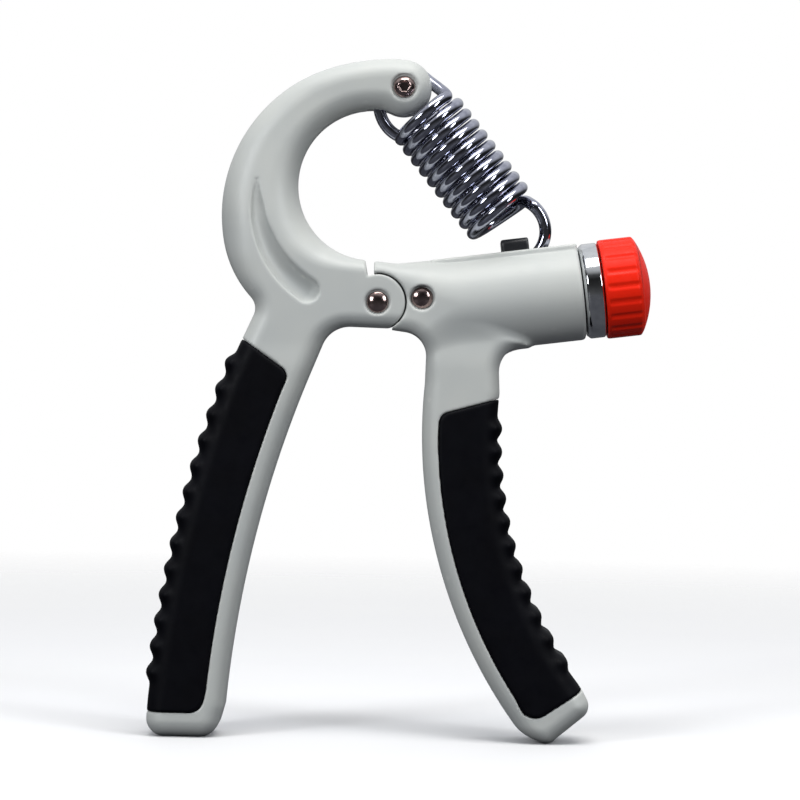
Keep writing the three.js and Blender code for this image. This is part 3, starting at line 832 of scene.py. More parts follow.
@dataclass(frozen=True)
class Tone:
    """A colour, given as it looks on a screen, from 0 to 255."""

    red: float
    green: float
    blue: float

    @property
    def rgba(self) -> tuple[float, float, float, float]:
        """The colour as the shader counts it."""
        channels = (self.red, self.green, self.blue)
        linear = [((c / 255 + 0.055) / 1.055) ** 2.4 if c > 10 else c / 255 / 12.92 for c in channels]
        return (linear[0], linear[1], linear[2], 1.0)


@dataclass(frozen=True)
class Finish(ABC):
    """A surface finish, which makes its own material."""

    slot: Slot

    @abstractmethod
    def dress(self, graph: Graph) -> None:
        """Adds the finish to an empty material."""

    def material(self) -> bpy.types.Material:
        """The finish's material, made once.

        Returns:
            The material.
        """
        name = f"{self.slot.value}_finish"
        found = bpy.data.materials.get(name)
        if found is not None:
            return found
        graph = Graph(name)
        self.dress(graph)
        return graph.material


@dataclass(frozen=True)
class MouldedPlastic(Finish):
    """Fine spark-eroded plastic, with faint flow clouds and paler rubbed edges."""

    body: Tone
    cloud: Tone
    rubbed: Tone
    roughness: float
    grain: float = 0.12
    gloss: float = 0.5

    def dress(self, graph: Graph) -> None:
        """Adds clouds, rubbed edges, an uneven shine and a fine grain.

        Args:
            graph: The empty material.
        """
        clouds = graph.span(graph.noise(0.06, 2.0), 0.0, 1.0)
        colour = graph.blend(clouds, self.body, self.cloud)
        edge_mask = graph.add("ShaderNodeMath", operation="MULTIPLY")
        graph.link(graph.edge_share(), edge_mask.inputs[0])
        graph.link(graph.span(graph.noise(0.35, 4.0), 0.1, 0.75), edge_mask.inputs[1])
        colour = graph.blend(edge_mask.outputs[0], colour, self.rubbed)
        graph.link(colour, graph.surface.inputs["Base Color"])
        shine = graph.span(graph.noise(0.5, 5.0), self.roughness - 0.05, self.roughness + 0.07)
        graph.link(shine, graph.surface.inputs["Roughness"])
        graph.surface.inputs["IOR"].default_value = 1.48
        graph.surface.inputs["Specular IOR Level"].default_value = self.gloss
        graph.bump(
            [
                (graph.noise(0.09, 1.0), 0.15, 0.35),
                (graph.noise(5.0, 2.0, 0.6), self.grain, 0.02),
            ]
        )


@dataclass(frozen=True)
class MouldedRubber(Finish):
    """Soft black rubber, with a dry bloom, handling marks, a painted bluish sheen on its edges and a fine matte
    grain.
    """

    body: Tone
    # Paler bluish tone of the random bloom patches, also painted on the edges as a sheen.
    bloom_and_sheen: Tone
    roughness: float = 0.55

    def dress(self, graph: Graph) -> None:
        """Adds bloom, smears, a painted sheen on the edges and grain.

        Args:
            graph: The empty material.
        """
        patches = graph.span(graph.noise(0.12, 5.0, 0.6), 0.0, 0.55)
        colour = graph.blend(patches, self.body, self.bloom_and_sheen)
        # Painted sheen: convex edges are tinted towards the paler bluish tone in place of highlights.
        edge_mask = graph.add("ShaderNodeMath", operation="MULTIPLY")
        graph.link(graph.edge_share(0.53, 0.66), edge_mask.inputs[0])
        edge_mask.inputs[1].default_value = 0.4
        colour = graph.blend(edge_mask.outputs[0], colour, self.bloom_and_sheen)
        graph.link(colour, graph.surface.inputs["Base Color"])
        shine = graph.span(graph.noise(0.3, 4.0), self.roughness - 0.08, self.roughness + 0.1)
        graph.link(shine, graph.surface.inputs["Roughness"])
        graph.surface.inputs["Specular IOR Level"].default_value = 0.09
        graph.bump(
            [
                (graph.noise(0.4, 2.0), 0.1, 0.15),
                (graph.noise(6.0, 2.0, 0.65), 0.28, 0.03),
            ]
        )


@dataclass(frozen=True)
class PlatedMetal(Finish):
    """Plated or polished metal, with drawn or turned marks, haze and small dull specks."""

    body: Tone
    dull: Tone
    roughness: float
    marks: tuple[float, float, float] = (1.0, 1.0, 1.0)
    mark_strength: float = 0.08
    haze: float = 0.08

    def dress(self, graph: Graph) -> None:
        """Adds haze, specks and fine marks.

        Args:
            graph: The empty material.
        """
        haze = graph.span(graph.noise(0.5, 4.0, 0.6), 0.0, 1.0, (0.4, 0.75))
        graph.link(graph.blend(haze, self.body, self.dull), graph.surface.inputs["Base Color"])
        graph.surface.inputs["Metallic"].default_value = 1.0
        shine = graph.span(graph.noise(1.2, 5.0, 0.6), self.roughness, self.roughness + self.haze, (0.35, 0.75))
        graph.link(shine, graph.surface.inputs["Roughness"])
        graph.bump(
            [
                (graph.noise(0.25, 1.0), 0.05, 0.1),
                (graph.noise(4.0, 2.0, 0.5, self.marks), self.mark_strength, 0.01),
            ]
        )


FRAME_PLASTIC = MouldedPlastic(Slot.GREY_PLASTIC, Tone(203, 205, 201), Tone(196, 199, 197), Tone(215, 216, 211), 0.42)
GRIP_RUBBER = MouldedRubber(Slot.BLACK_RUBBER, Tone(4, 4, 8), Tone(10, 11, 18), 0.56)
KNOB_PLASTIC = MouldedPlastic(
    Slot.RED_PLASTIC, Tone(255, 40, 12), Tone(249, 34, 10), Tone(255, 66, 34), 0.42, 0.08, 0.2
)
NYLON = MouldedPlastic(Slot.BLACK_NYLON, Tone(38, 39, 42), Tone(32, 33, 37), Tone(70, 71, 74), 0.36)
RIVET_STEEL = PlatedMetal(Slot.POLISHED_STEEL, Tone(172, 152, 148), Tone(132, 112, 110), 0.12)
ZINC = PlatedMetal(Slot.ZINC_STEEL, Tone(176, 178, 180), Tone(138, 140, 146), 0.3, (1, 1, 1), 0.15)
SPRING_CHROME = PlatedMetal(Slot.CHROMED_WIRE, Tone(182, 184, 198), Tone(146, 148, 164), 0.07, (1, 1, 1), 0.05)
COLLAR_CHROME = PlatedMetal(Slot.CHROME, Tone(224, 226, 228), Tone(198, 200, 204), 0.05, (0.1, 1, 1), 0.06, 0.06)


@dataclass
class Workshop:
    """Puts finished meshes into the scene on their bodies."""

    skinner: Skinner
    lathe: Lathe
    made: list[bpy.types.Object] = field(default_factory=list)

    def place(
        self,
        name: str,
        shell: Shell,
        finish: Finish,
        body: Body | None,
        stands_for: Sequence[str],
    ) -> bpy.types.Object:
        """Makes an object of a mesh.

        Args:
            name: Name of the piece.
            shell: Its mesh in millimetres from the pivot.
            finish: Its surface finish.
            body: The body that it rides on, or None to leave it on no body.
            stands_for: Names of the frame's nodes that it replaces.

        Returns:
            The object.
        """
        mesh = bpy.data.meshes.new(name)
        points = (shell.points + np.array((PIVOT_X, 0.0, PIVOT_HEIGHT))) * MM
        mesh.from_pydata(points.tolist(), [], shell.faces)
        mesh.validate()
        mesh.shade_smooth()
        mesh.materials.append(finish.material())
        piece = bpy.data.objects.new(name, mesh)
        bpy.context.scene.collection.objects.link(piece)
        if body is not None:
            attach(piece, body.value)
        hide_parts(*stands_for)
        self.made.append(piece)
        LOG.info("%s: %d faces, %s", name, len(mesh.polygons), finish.slot.value)
        return piece


@dataclass
class SubAssembly(ABC):
    """A group of pieces that are made together."""

    @abstractmethod
    def build(self, shop: Workshop) -> None:
        """Makes the sub-assembly's pieces."""


# ---------------------------------------------------------------- left arm and its pad


HOLLOW = Circle(-1.5, 26.65, 17.2)
LEFT_INNER = Circle(228.3, -113.5, 262.1)
LEFT_OUTER = Circle(259.3, -119.3, 310.7)
RIGHT_INNER = Circle(122.7, -27.9, 112.0)
RIGHT_OUTER = Circle(120.4, -28.5, 92.8)
LOBE_RADIUS = 6.24
RUNNING = 0.35
RIVET_HOLE = 1.9
COUNTERBORE = 2.8
RIVET_FLOOR = 8.5
TONGUE_RIVET: Point = (10.0, 1.15)
PIN: Point = (5.01, 48.84)
SPRING_ANGLE = -51.33
HOOK_RADIUS = 7.5
HOOK_REACH = 3.4
HOOK_SPAN = 37.27


def rivet_hole(solid: Array, at: Point, floor: float, bore: float, x: Array, y: Array, z: Array) -> Array:
    """Cuts a rivet's hole with a counterbore in each face.

    Args:
        solid: Field of the moulding.
        at: Centre of the hole.
        floor: Height of the counterbores' floors from the middle.
        bore: Radius of the counterbores.
        x: Places along X.
        y: Places along Y.
        z: Places along Z.

    Returns:
        The moulding's field with the hole.
    """
    solid = cut(solid, cross_pin(at, RIVET_HOLE, x, z), 0.1)
    return cut(solid, np.maximum(cross_pin(at, bore, x, z), floor - np.abs(y)), 0.35)


@dataclass
class LeftArm(SubAssembly):
    """Arch, pivot cheeks and left handle in one moulding, with its grip pad."""

    pivot_half: float = 9.2
    foot_half: float = 9.5
    tip_half: float = 6.5
    pad_half: float = 9.85
    edge: float = 4.3
    core_half: float = 5.5
    core_root: float = 1.2
    pad_side: float = 3.2
    ribs: int = 13
    rib_top: float = -14.4
    rib_low: float = -84.4
    rib_radius: float = 1.55
    rib_rise: float = 1.1
    groove: tuple[tuple[float, float, float], ...] = (
        (-27.75, 27.0, 0.3),
        (-27.8, 24.0, 0.9),
        (-27.5, 20.8, 1.4),
        (-27.0, 17.7, 1.7),
        (-25.9, 14.4, 2.0),
        (-24.3, 11.0, 2.25),
        (-21.6, 7.2, 2.5),
        (-18.6, 4.3, 2.65),
        (-15.9, 2.3, 2.7),
    )

    def body_outline(self) -> Array:
        """Outline of the moulding, carried on past the hinge line.

        Returns:
            The outline's points.
        """
        side = Circle(-0.95, 19.93, 34.91)
        crown_at, crown_angle = math.radians(106.6), 106.6
        crown_radius, tight_radius = 49.1, 26.0
        inset = crown_radius - side.r
        crown = Circle(
            side.x - inset * math.cos(crown_at), side.z - inset * math.sin(crown_at), crown_radius
        )
        tight_at = math.radians(190.0)
        inset = side.r - tight_radius
        tight = Circle(
            side.x + inset * math.cos(tight_at), side.z + inset * math.sin(tight_at), tight_radius
        )
        waist_at = tight.resized(3.6).at(223.3)
        waist = Circle(waist_at[0], waist_at[1], 3.6)
        tip = Circle(4.9, 48.9, 6.4)
        towards = math.degrees(math.atan2(tip.z - HOLLOW.z, tip.x - HOLLOW.x))
        return rounded(
            [
                (9.0, -5.75),
                (9.0, 12.8),
                *HOLLOW.arc(-53, towards + 10 - 360),
                *tip.arc(towards - 193, 86),
                *crown.arc(90, crown_angle),
                *side.arc(crown_angle + 1, 189),
                *tight.arc(190, 223.3 - 1),
                *waist.arc(223.3 - 180, -27),
                *LEFT_OUTER.flank(-17, -90),
                Corner(-50.6, -PIVOT_HEIGHT, 4.0),
                Corner(-34.8, -PIVOT_HEIGHT, 4.6),
                *LEFT_INNER.flank(-92, -16),
                Corner(-10.7, -5.3, 6.7),
            ]
        )

    def hinge_line(self) -> Array:
        """Outline of the space on the arm's side of the hinge line.

        Returns:
            The outline's points.
        """
        return rounded(
            [
                (-70, -115),
                (0, -115),
                *Circle(0, 0, LOBE_RADIUS).arc(-90, 112, 0.3),
                (-2.95, 9.2),
                (-3.3, 14.0),
                (0.0, 22.0),
                (26.0, 22.0),
                (26.0, 66.0),
                (-70, 66),
            ]
        )

    def pad_outline(self, grow: float, outwards: float) -> Array:
        """Outline of the pad or its bed.

        Args:
            grow: Added to the top, inner and bottom edges.
            outwards: How far the outer side is moved out.

        Returns:
            The outline.
        """
        inner = LEFT_INNER.resized(self.edge - grow)
        outer = LEFT_OUTER.resized(outwards)
        bottom = -93.2 - grow
        foot = outer.at(outer.angle_at(bottom))
        return rounded(
            [
                *outer.flank(-13, bottom + 2.5),
                Corner(foot[0], foot[1], 1.6),
                Corner(-38 + grow, bottom, 3.4),
                *inner.flank(-88.5, -20.5),
                Corner(-19.6 + grow, -16.4 + grow, 2.6),
                Corner(-31.6 - outwards, -8.1 + grow + 0.69 * outwards, 1.6),
            ]
        )

    def half_thickness(self, x: Array, z: Array) -> Array:
        """Half of the moulding's thickness, which tapers up the arch."""
        upward = self.pivot_half - (self.pivot_half - self.tip_half) * ramp(8.0, 47.0, z)
        return upward + (self.foot_half - self.pivot_half) * ramp(-9.0, -16.0, z)

    def edge_radius(self, x: Array, z: Array) -> Array:
        """Rounding of the long edges: full on the arch, less at the hinge and on the handle.

        Args:
            x: Places along X.
            z: Places along Z.

        Returns:
            The radius there.
        """
        arch = np.clip(7.3 - (z - 18.0) * 0.09, 4.5, 7.3)
        share = ramp(1.0, 16.0, z) * ramp(6.0, 17.0, np.hypot(x, z - 2.0))
        handle = 3.2 + 1.0 * ramp(7.0, 20.0, np.hypot(x, z))
        return handle + (arch - handle) * share

    def groove_depth(self, x: Array, y: Array, z: Array) -> Array:
        """Field of the tapered trough in both faces of the arch's foot.

        Args:
            x: Places along X.
            y: Places along Y.
            z: Places along Z.

        Returns:
            The signed distance to the trough.
        """
        path = follow(np.array(self.groove), 0.7)
        nearest = np.full(np.broadcast(x, y, z).shape, 1e3)
        face = np.abs(y) - self.half_thickness(x, z)
        for px, pz, half in path:
            deep = 0.95 * half
            radius = (half**2 + deep**2) / (2 * deep)
            away = np.sqrt((x - px) ** 2 + (z - pz) ** 2 + (face - (radius - deep)) ** 2) - radius
            nearest = np.minimum(nearest, away)
        return nearest

    def fields(self) -> tuple[Field, Field]:
        """Fields of the moulding and of its pad.

        Returns:
            The moulding's field and the pad's.
        """
        body, hinge = Region(self.body_outline()), Region(self.hinge_line())
        bed = Region(self.pad_outline(0.12, 5.0))
        pad = Region(self.pad_outline(0.0, 5.0))
        core = Region(self.pad_outline(self.core_root, -self.pad_side))
        hollow = Region(self.pad_outline(self.core_root + FIT, FIT - self.pad_side))
        angle = math.radians(SPRING_ANGLE)
        hook = (PIN[0] + HOOK_REACH * math.cos(angle), PIN[1] + HOOK_REACH * math.sin(angle))
        crests = LEFT_OUTER.resized(self.rib_rise - self.rib_radius)
        heights = np.linspace(self.rib_top, self.rib_low, self.ribs)
        rib_places = [crests.at(crests.angle_at(float(height))) for height in heights]

        def moulding(x: Array, y: Array, z: Array) -> Array:
            """Field of the grey moulding.

            Args:
                x: Places along X.
                y: Places along Y.
                z: Places along Z.

            Returns:
                The signed distance.
            """
            solid = meet(body(x, z), np.abs(y) - self.half_thickness(x, z), self.edge_radius(x, z))
            solid = cut(solid, self.groove_depth(x, y, z), 0.45)
            solid = meet(solid, hinge(x, z), 0.3)
            solid = cut(solid, bed(x, z), 0.25)
            solid = join(solid, meet(core(x, z), np.abs(y) - self.core_half, 0.4), 0.3)
            solid = cut(solid, np.maximum(cross_pin((0, 0), LOBE_RADIUS + 0.6, x, z), np.abs(y) - 2.7), 0.3)
            fork = HOOK_RADIUS + WIRE / 2 + 1.6
            solid = cut(solid, np.maximum(cross_pin(hook, fork, x, z), np.abs(y) - (WIRE / 2 + 0.55)), 0.5)
            solid = rivet_hole(solid, (0, 0), RIVET_FLOOR, COUNTERBORE, x, y, z)
            return rivet_hole(solid, PIN, self.tip_half - 0.7, 2.9, x, y, z)

        def cushion(x: Array, y: Array, z: Array) -> Array:
            """Field of the rubber pad.

            Args:
                x: Places along X.
                y: Places along Y.
                z: Places along Z.

            Returns:
                The signed distance.
            """
            ribs = np.full(np.broadcast(x, z).shape, 1e3)
            for place in rib_places:
                ribs = np.minimum(ribs, cross_pin(place, self.rib_radius, x, z))
            solid = meet(join(body(x, z), ribs, 1.5), np.abs(y) - self.pad_half, 4.2)
            solid = meet(solid, pad(x, z), 0.3)
            return cut(solid, np.maximum(hollow(x, z), np.abs(y) - self.core_half - FIT), 0.2)

        return moulding, cushion

    def build(self, shop: Workshop) -> None:
        """Makes the moulding and the pad.

        Args:
            shop: The workshop.
        """
        moulding, cushion = self.fields()
        shell = shop.skinner.skin(moulding, (-52.5, -10.8, -100.2), (13.5, 10.8, 57.2))
        shop.place("arm_moulding", shell, FRAME_PLASTIC, Body.LEFT_ARM, ["left_arm"])
        shell = shop.skinner.skin(cushion, (-53.5, -11.2, -95.5), (-17.5, 11.2, -7.0))
        shop.place("left_pad_rubber", shell, GRIP_RUBBER, Body.LEFT_ARM, ["left_grip_pad"])


# ---------------------------------------------------------------- right handle with its barrel, and its pad


@dataclass
class RightHandle(SubAssembly):
    """Barrel and right handle in one moulding, with its grip pad."""

    pivot_half: float = 9.2
    foot_half: float = 9.5
    pad_half: float = 9.85
    edge: float = 3.7
    core_half: float = 5.5
    core_root: float = 1.2
    pad_side: float = 3.2
    ribs: int = 11
    rib_top: float = -28.0
    rib_low: float = -80.5
    rib_radius: float = 1.55
    rib_rise: float = 1.1
    slider_at: float = 32.8
    travel_in: float = 7.0
    slot_width: float = 8.2

    def outer_side(self) -> Array:
        """Outline of the flat part, without its inner side, and with its top inside the barrel.

        Returns:
            The outline's points.
        """
        corner = BARREL.point(26.3, -10.7)
        return rounded(
            [
                (-20.0, -PIVOT_HEIGHT),
                Corner(40.9, -PIVOT_HEIGHT, 3.1),
                Corner(50.4, -91.0, 3.2),
                *RIGHT_OUTER.flank(-86.5, -20),
                Corner(corner[0], corner[1], 6.0),
                BARREL.point(33.0, -10.7),
                BARREL.point(25.0, -3.0),
                BARREL.point(14.0, 1.0),
                BARREL.point(-20.0, 1.0),
            ]
        )

    def inner_side(self) -> Array:
        """Outline of the space outside the hand's room: the crotch and the inner side.

        Returns:
            The outline's points.
        """
        return rounded(
            [
                (-20.0, -5.2),
                (0.0, -5.5),
                Corner(11.4, -7.0, 5.5),
                *RIGHT_INNER.flank(-18, -104),
                (66.0, -104.0),
                (66.0, 22.0),
                (-20.0, 22.0),
            ]
        )

    def arm_room(self) -> Array:
        """Outline of the room that the arm's cheeks and the notch take up.

        Returns:
            The outline's points.
        """
        circle = Circle(0, 0, LOBE_RADIUS + RUNNING)
        wall = math.degrees(math.acos(-0.95 / circle.r))
        return rounded([(-30, -40), (0, -40), *circle.arc(-90, wall, 0.3), (-0.95, 30), (-30, 30)])

    def pad_outline(self, grow: float, outwards: float) -> Array:
        """Outline of the pad or its bed.

        Args:
            grow: Added to the top, inner and bottom edges.
            outwards: How far the outer side is moved out.

        Returns:
            The outline.
        """
        inner = RIGHT_INNER.resized(grow - self.edge)
        outer = RIGHT_OUTER.resized(-outwards)
        bottom = -86.4 + 0.68 * outwards
        top = outer.at(outer.angle_at(-21.4))
        return rounded(
            [
                Corner(top[0], -21.4 + grow + 0.3 * outwards, 1.6),
                Corner(14.6 - grow, -25.1 + grow, 2.4),
                *inner.flank(-29.7, -88.5),
                Corner(36.2 - grow, -94.4 - grow, 3.6),
                Corner(48.0 + outwards + grow, bottom - grow, 1.6),
                *outer.flank(bottom + 2.5, -25),
            ]
        )

    def section(self, x: Array, y: Array, z: Array) -> Array:
        """Field of the barrel, which is square at the hinge and grows round towards the mouth.

        Args:
            x: Places along X.
            y: Places along Y.
            z: Places along Z.

        Returns:
            The signed distance.
        """
        along, above = BARREL.local(x, z)
        grown = ramp(1.0, 20.0, along)
        radius = 3.0 + (BARREL.radius - 3.0) * grown
        half = self.pivot_half + (BARREL.radius - self.pivot_half) * grown
        curl = 1.05 * (1.0 - ramp(0.2, 6.5, along))
        return meet(np.abs(above) - BARREL.radius - curl, np.abs(y) - half, radius)

    def fields(self) -> tuple[Field, Field]:
        """Fields of the moulding and of its pad.

        Returns:
            The moulding's field and the pad's.
        """
        outer, inner = Region(self.outer_side()), Region(self.inner_side())
        room = Region(self.arm_room())
        bed = Region(self.pad_outline(0.12, 5.0))
        pad = Region(self.pad_outline(0.0, 5.0))
        core = Region(self.pad_outline(self.core_root, -self.pad_side))
        hollow = Region(self.pad_outline(self.core_root + FIT, FIT - self.pad_side))
        crests = RIGHT_OUTER.resized(self.rib_radius - self.rib_rise)
        heights = np.linspace(self.rib_top, self.rib_low, self.ribs)
        rib_places = [crests.at(crests.angle_at(float(height))) for height in heights]
        reach = HOOK_RADIUS + WIRE / 2 + 0.6

        def moulding(x: Array, y: Array, z: Array) -> Array:
            """Field of the grey moulding.

            Args:
                x: Places along X.
                y: Places along Y.
                z: Places along Z.

            Returns:
                The signed distance.
            """
            along, above = BARREL.local(x, z)
            half = 8.4 + (self.foot_half - 8.4) * ramp(-2.0, -15.0, z)
            flat = meet(outer(x, z), np.abs(y) - half, 4.0)
            barrel = meet(self.section(x, y, z), along - BARREL.mouth, 0.9)
            solid = join(barrel, flat, 2.0)
            solid = meet(solid, inner(x, z), 3.2 + 0.9 * ramp(-6.0, -18.0, z))
            solid = cut(solid, room(x, z), 0.3)
            solid = cut(solid, np.maximum(np.hypot(above, y) - BARREL.bore, BARREL.start - along), 0.4)
            inward = self.slider_at - self.travel_in - reach
            beside = np.abs(y) - self.slot_width / 2
            land = meet(slab(inward - 3.0, BARREL.mouth, along), beside - 1.1, 0.8)
            land = np.maximum(meet(land, above - BARREL.radius, 0.35), 5.0 - above)
            solid = join(solid, land, 0.2)
            slot = meet(slab(inward, self.slider_at + reach, along), beside, 0.8)
            solid = cut(solid, np.maximum(slot, -above), 0.45)
            tongue = stadium((0, 0), TONGUE_RIVET, 5.1, x, z)
            solid = cut(solid, np.maximum(tongue, np.abs(y) - 1.8), 0.2)
            solid = rivet_hole(solid, TONGUE_RIVET, RIVET_FLOOR, COUNTERBORE, x, y, z)
            solid = cut(solid, bed(x, z), 0.25)
            return join(solid, meet(core(x, z), np.abs(y) - self.core_half, 0.4), 0.3)

        def cushion(x: Array, y: Array, z: Array) -> Array:
            """Field of the rubber pad.

            Args:
                x: Places along X.
                y: Places along Y.
                z: Places along Z.

            Returns:
                The signed distance.
            """
            ribs = np.full(np.broadcast(x, z).shape, 1e3)
            for place in rib_places:
                ribs = np.minimum(ribs, cross_pin(place, self.rib_radius, x, z))
            solid = meet(join(outer(x, z), ribs, 1.5), np.abs(y) - self.pad_half, 4.2)
            solid = meet(solid, pad(x, z), 0.3)
            return cut(solid, np.maximum(hollow(x, z), np.abs(y) - self.core_half - FIT), 0.2)

        return moulding, cushion

    def build(self, shop: Workshop) -> None:
        """Makes the moulding and the pad.

        Args:
            shop: The workshop.
        """
        moulding, cushion = self.fields()
        shell = shop.skinner.skin(moulding, (-2.2, -12.0, -100.2), (51.0, 12.0, 16.2))
        shop.place("barrel_and_handle", shell, FRAME_PLASTIC, Body.RIGHT_HANDLE, ["right_handle"])
        shell = shop.skinner.skin(cushion, (12.5, -11.2, -95.5), (49.5, 11.2, -19.0))
        shop.place("right_pad_rubber", shell, GRIP_RUBBER, Body.RIGHT_HANDLE, ["right_grip_pad"])


# ---------------------------------------------------------------- hinge


@dataclass
class Hinge(SubAssembly):
    """Steel tongue between the cheeks, its two rivets and its washers."""

    tongue_radius: float = 4.8
    tongue_half: float = 1.5
    shank: float = 1.6
    head: float = 2.4
    dome: float = 1.0
    seat: float = 8.55

    def rivet(self, shop: Workshop, at: Point) -> Shell:
        """Domed rivet through both faces.

        Args:
            shop: The workshop.
            at: Its centre in the front view.

        Returns:
            The mesh.
        """
        crown = self.seat + self.dome
        sphere = (self.head**2 + (self.dome - 0.25) ** 2) / (2 * (self.dome - 0.25))
        arc = []
        for i in range(13):
            radius = self.head * i / 12
            arc.append((radius, crown - sphere + math.sqrt(sphere**2 - radius**2)))
        front = [(radius, -along) for radius, along in arc]
        back = list(reversed(arc))
        shoulder = [(self.head, -self.seat), (self.shank, -self.seat)]
        profile = [*front, *shoulder, (self.shank, self.seat), (self.head, self.seat), *back]
        return shop.lathe.across(shop.lathe.turn(np.array(profile)), at)

    def washer(self, shop: Workshop, side: Side) -> Shell:
        """Thin washer beside the tongue.

        Args:
            shop: The workshop.
            side: The side of the tongue that it is on.

        Returns:
            The mesh.
        """
        near = (self.tongue_half + FIT) * side.value
        far = near + 0.6 * side.value
        hole, rim = self.shank + FIT, self.tongue_radius
        loop = [(hole, near), (rim, near), (rim, far), (hole, far)]
        return shop.lathe.across(shop.lathe.turn(soft_profile(loop, 0.12, True), None, True), (0, 0))

    def tongue(self, x: Array, y: Array, z: Array) -> Array:
        """Field of the flat tongue with its two holes.

        Args:
            x: Places along X.
            y: Places along Y.
            z: Places along Z.

        Returns:
            The signed distance.
        """
        solid = meet(stadium((0, 0), TONGUE_RIVET, self.tongue_radius, x, z), np.abs(y) - self.tongue_half, 0.3)
        solid = cut(solid, cross_pin((0, 0), self.shank + FIT, x, z), 0.15)
        return cut(solid, cross_pin(TONGUE_RIVET, self.shank + FIT, x, z), 0.15)

    def build(self, shop: Workshop) -> None:
        """Makes the five pieces.

        Args:
            shop: The workshop.
        """
        fine = Skinner(shop.skinner.step * 0.8)
        shell = fine.skin(self.tongue, (-6, -2.4, -6), (16, 2.4, 7.5))
        shop.place("steel_tongue", shell, ZINC, Body.RIGHT_HANDLE, ["hinge_tongue"])
        shop.place("main_rivet", self.rivet(shop, (0, 0)), RIVET_STEEL, Body.RIGHT_HANDLE, ["pivot_rivet"])
        shop.place("second_rivet", self.rivet(shop, TONGUE_RIVET), RIVET_STEEL, Body.RIGHT_HANDLE, ["tongue_rivet"])
        shop.place("front_washer", self.washer(shop, Side.LEFT), ZINC, Body.LEFT_ARM, ["pivot_washer_front"])
        shop.place("rear_washer", self.washer(shop, Side.RIGHT), ZINC, Body.LEFT_ARM, ["pivot_washer_rear"])


# ---------------------------------------------------------------- spring and its pin


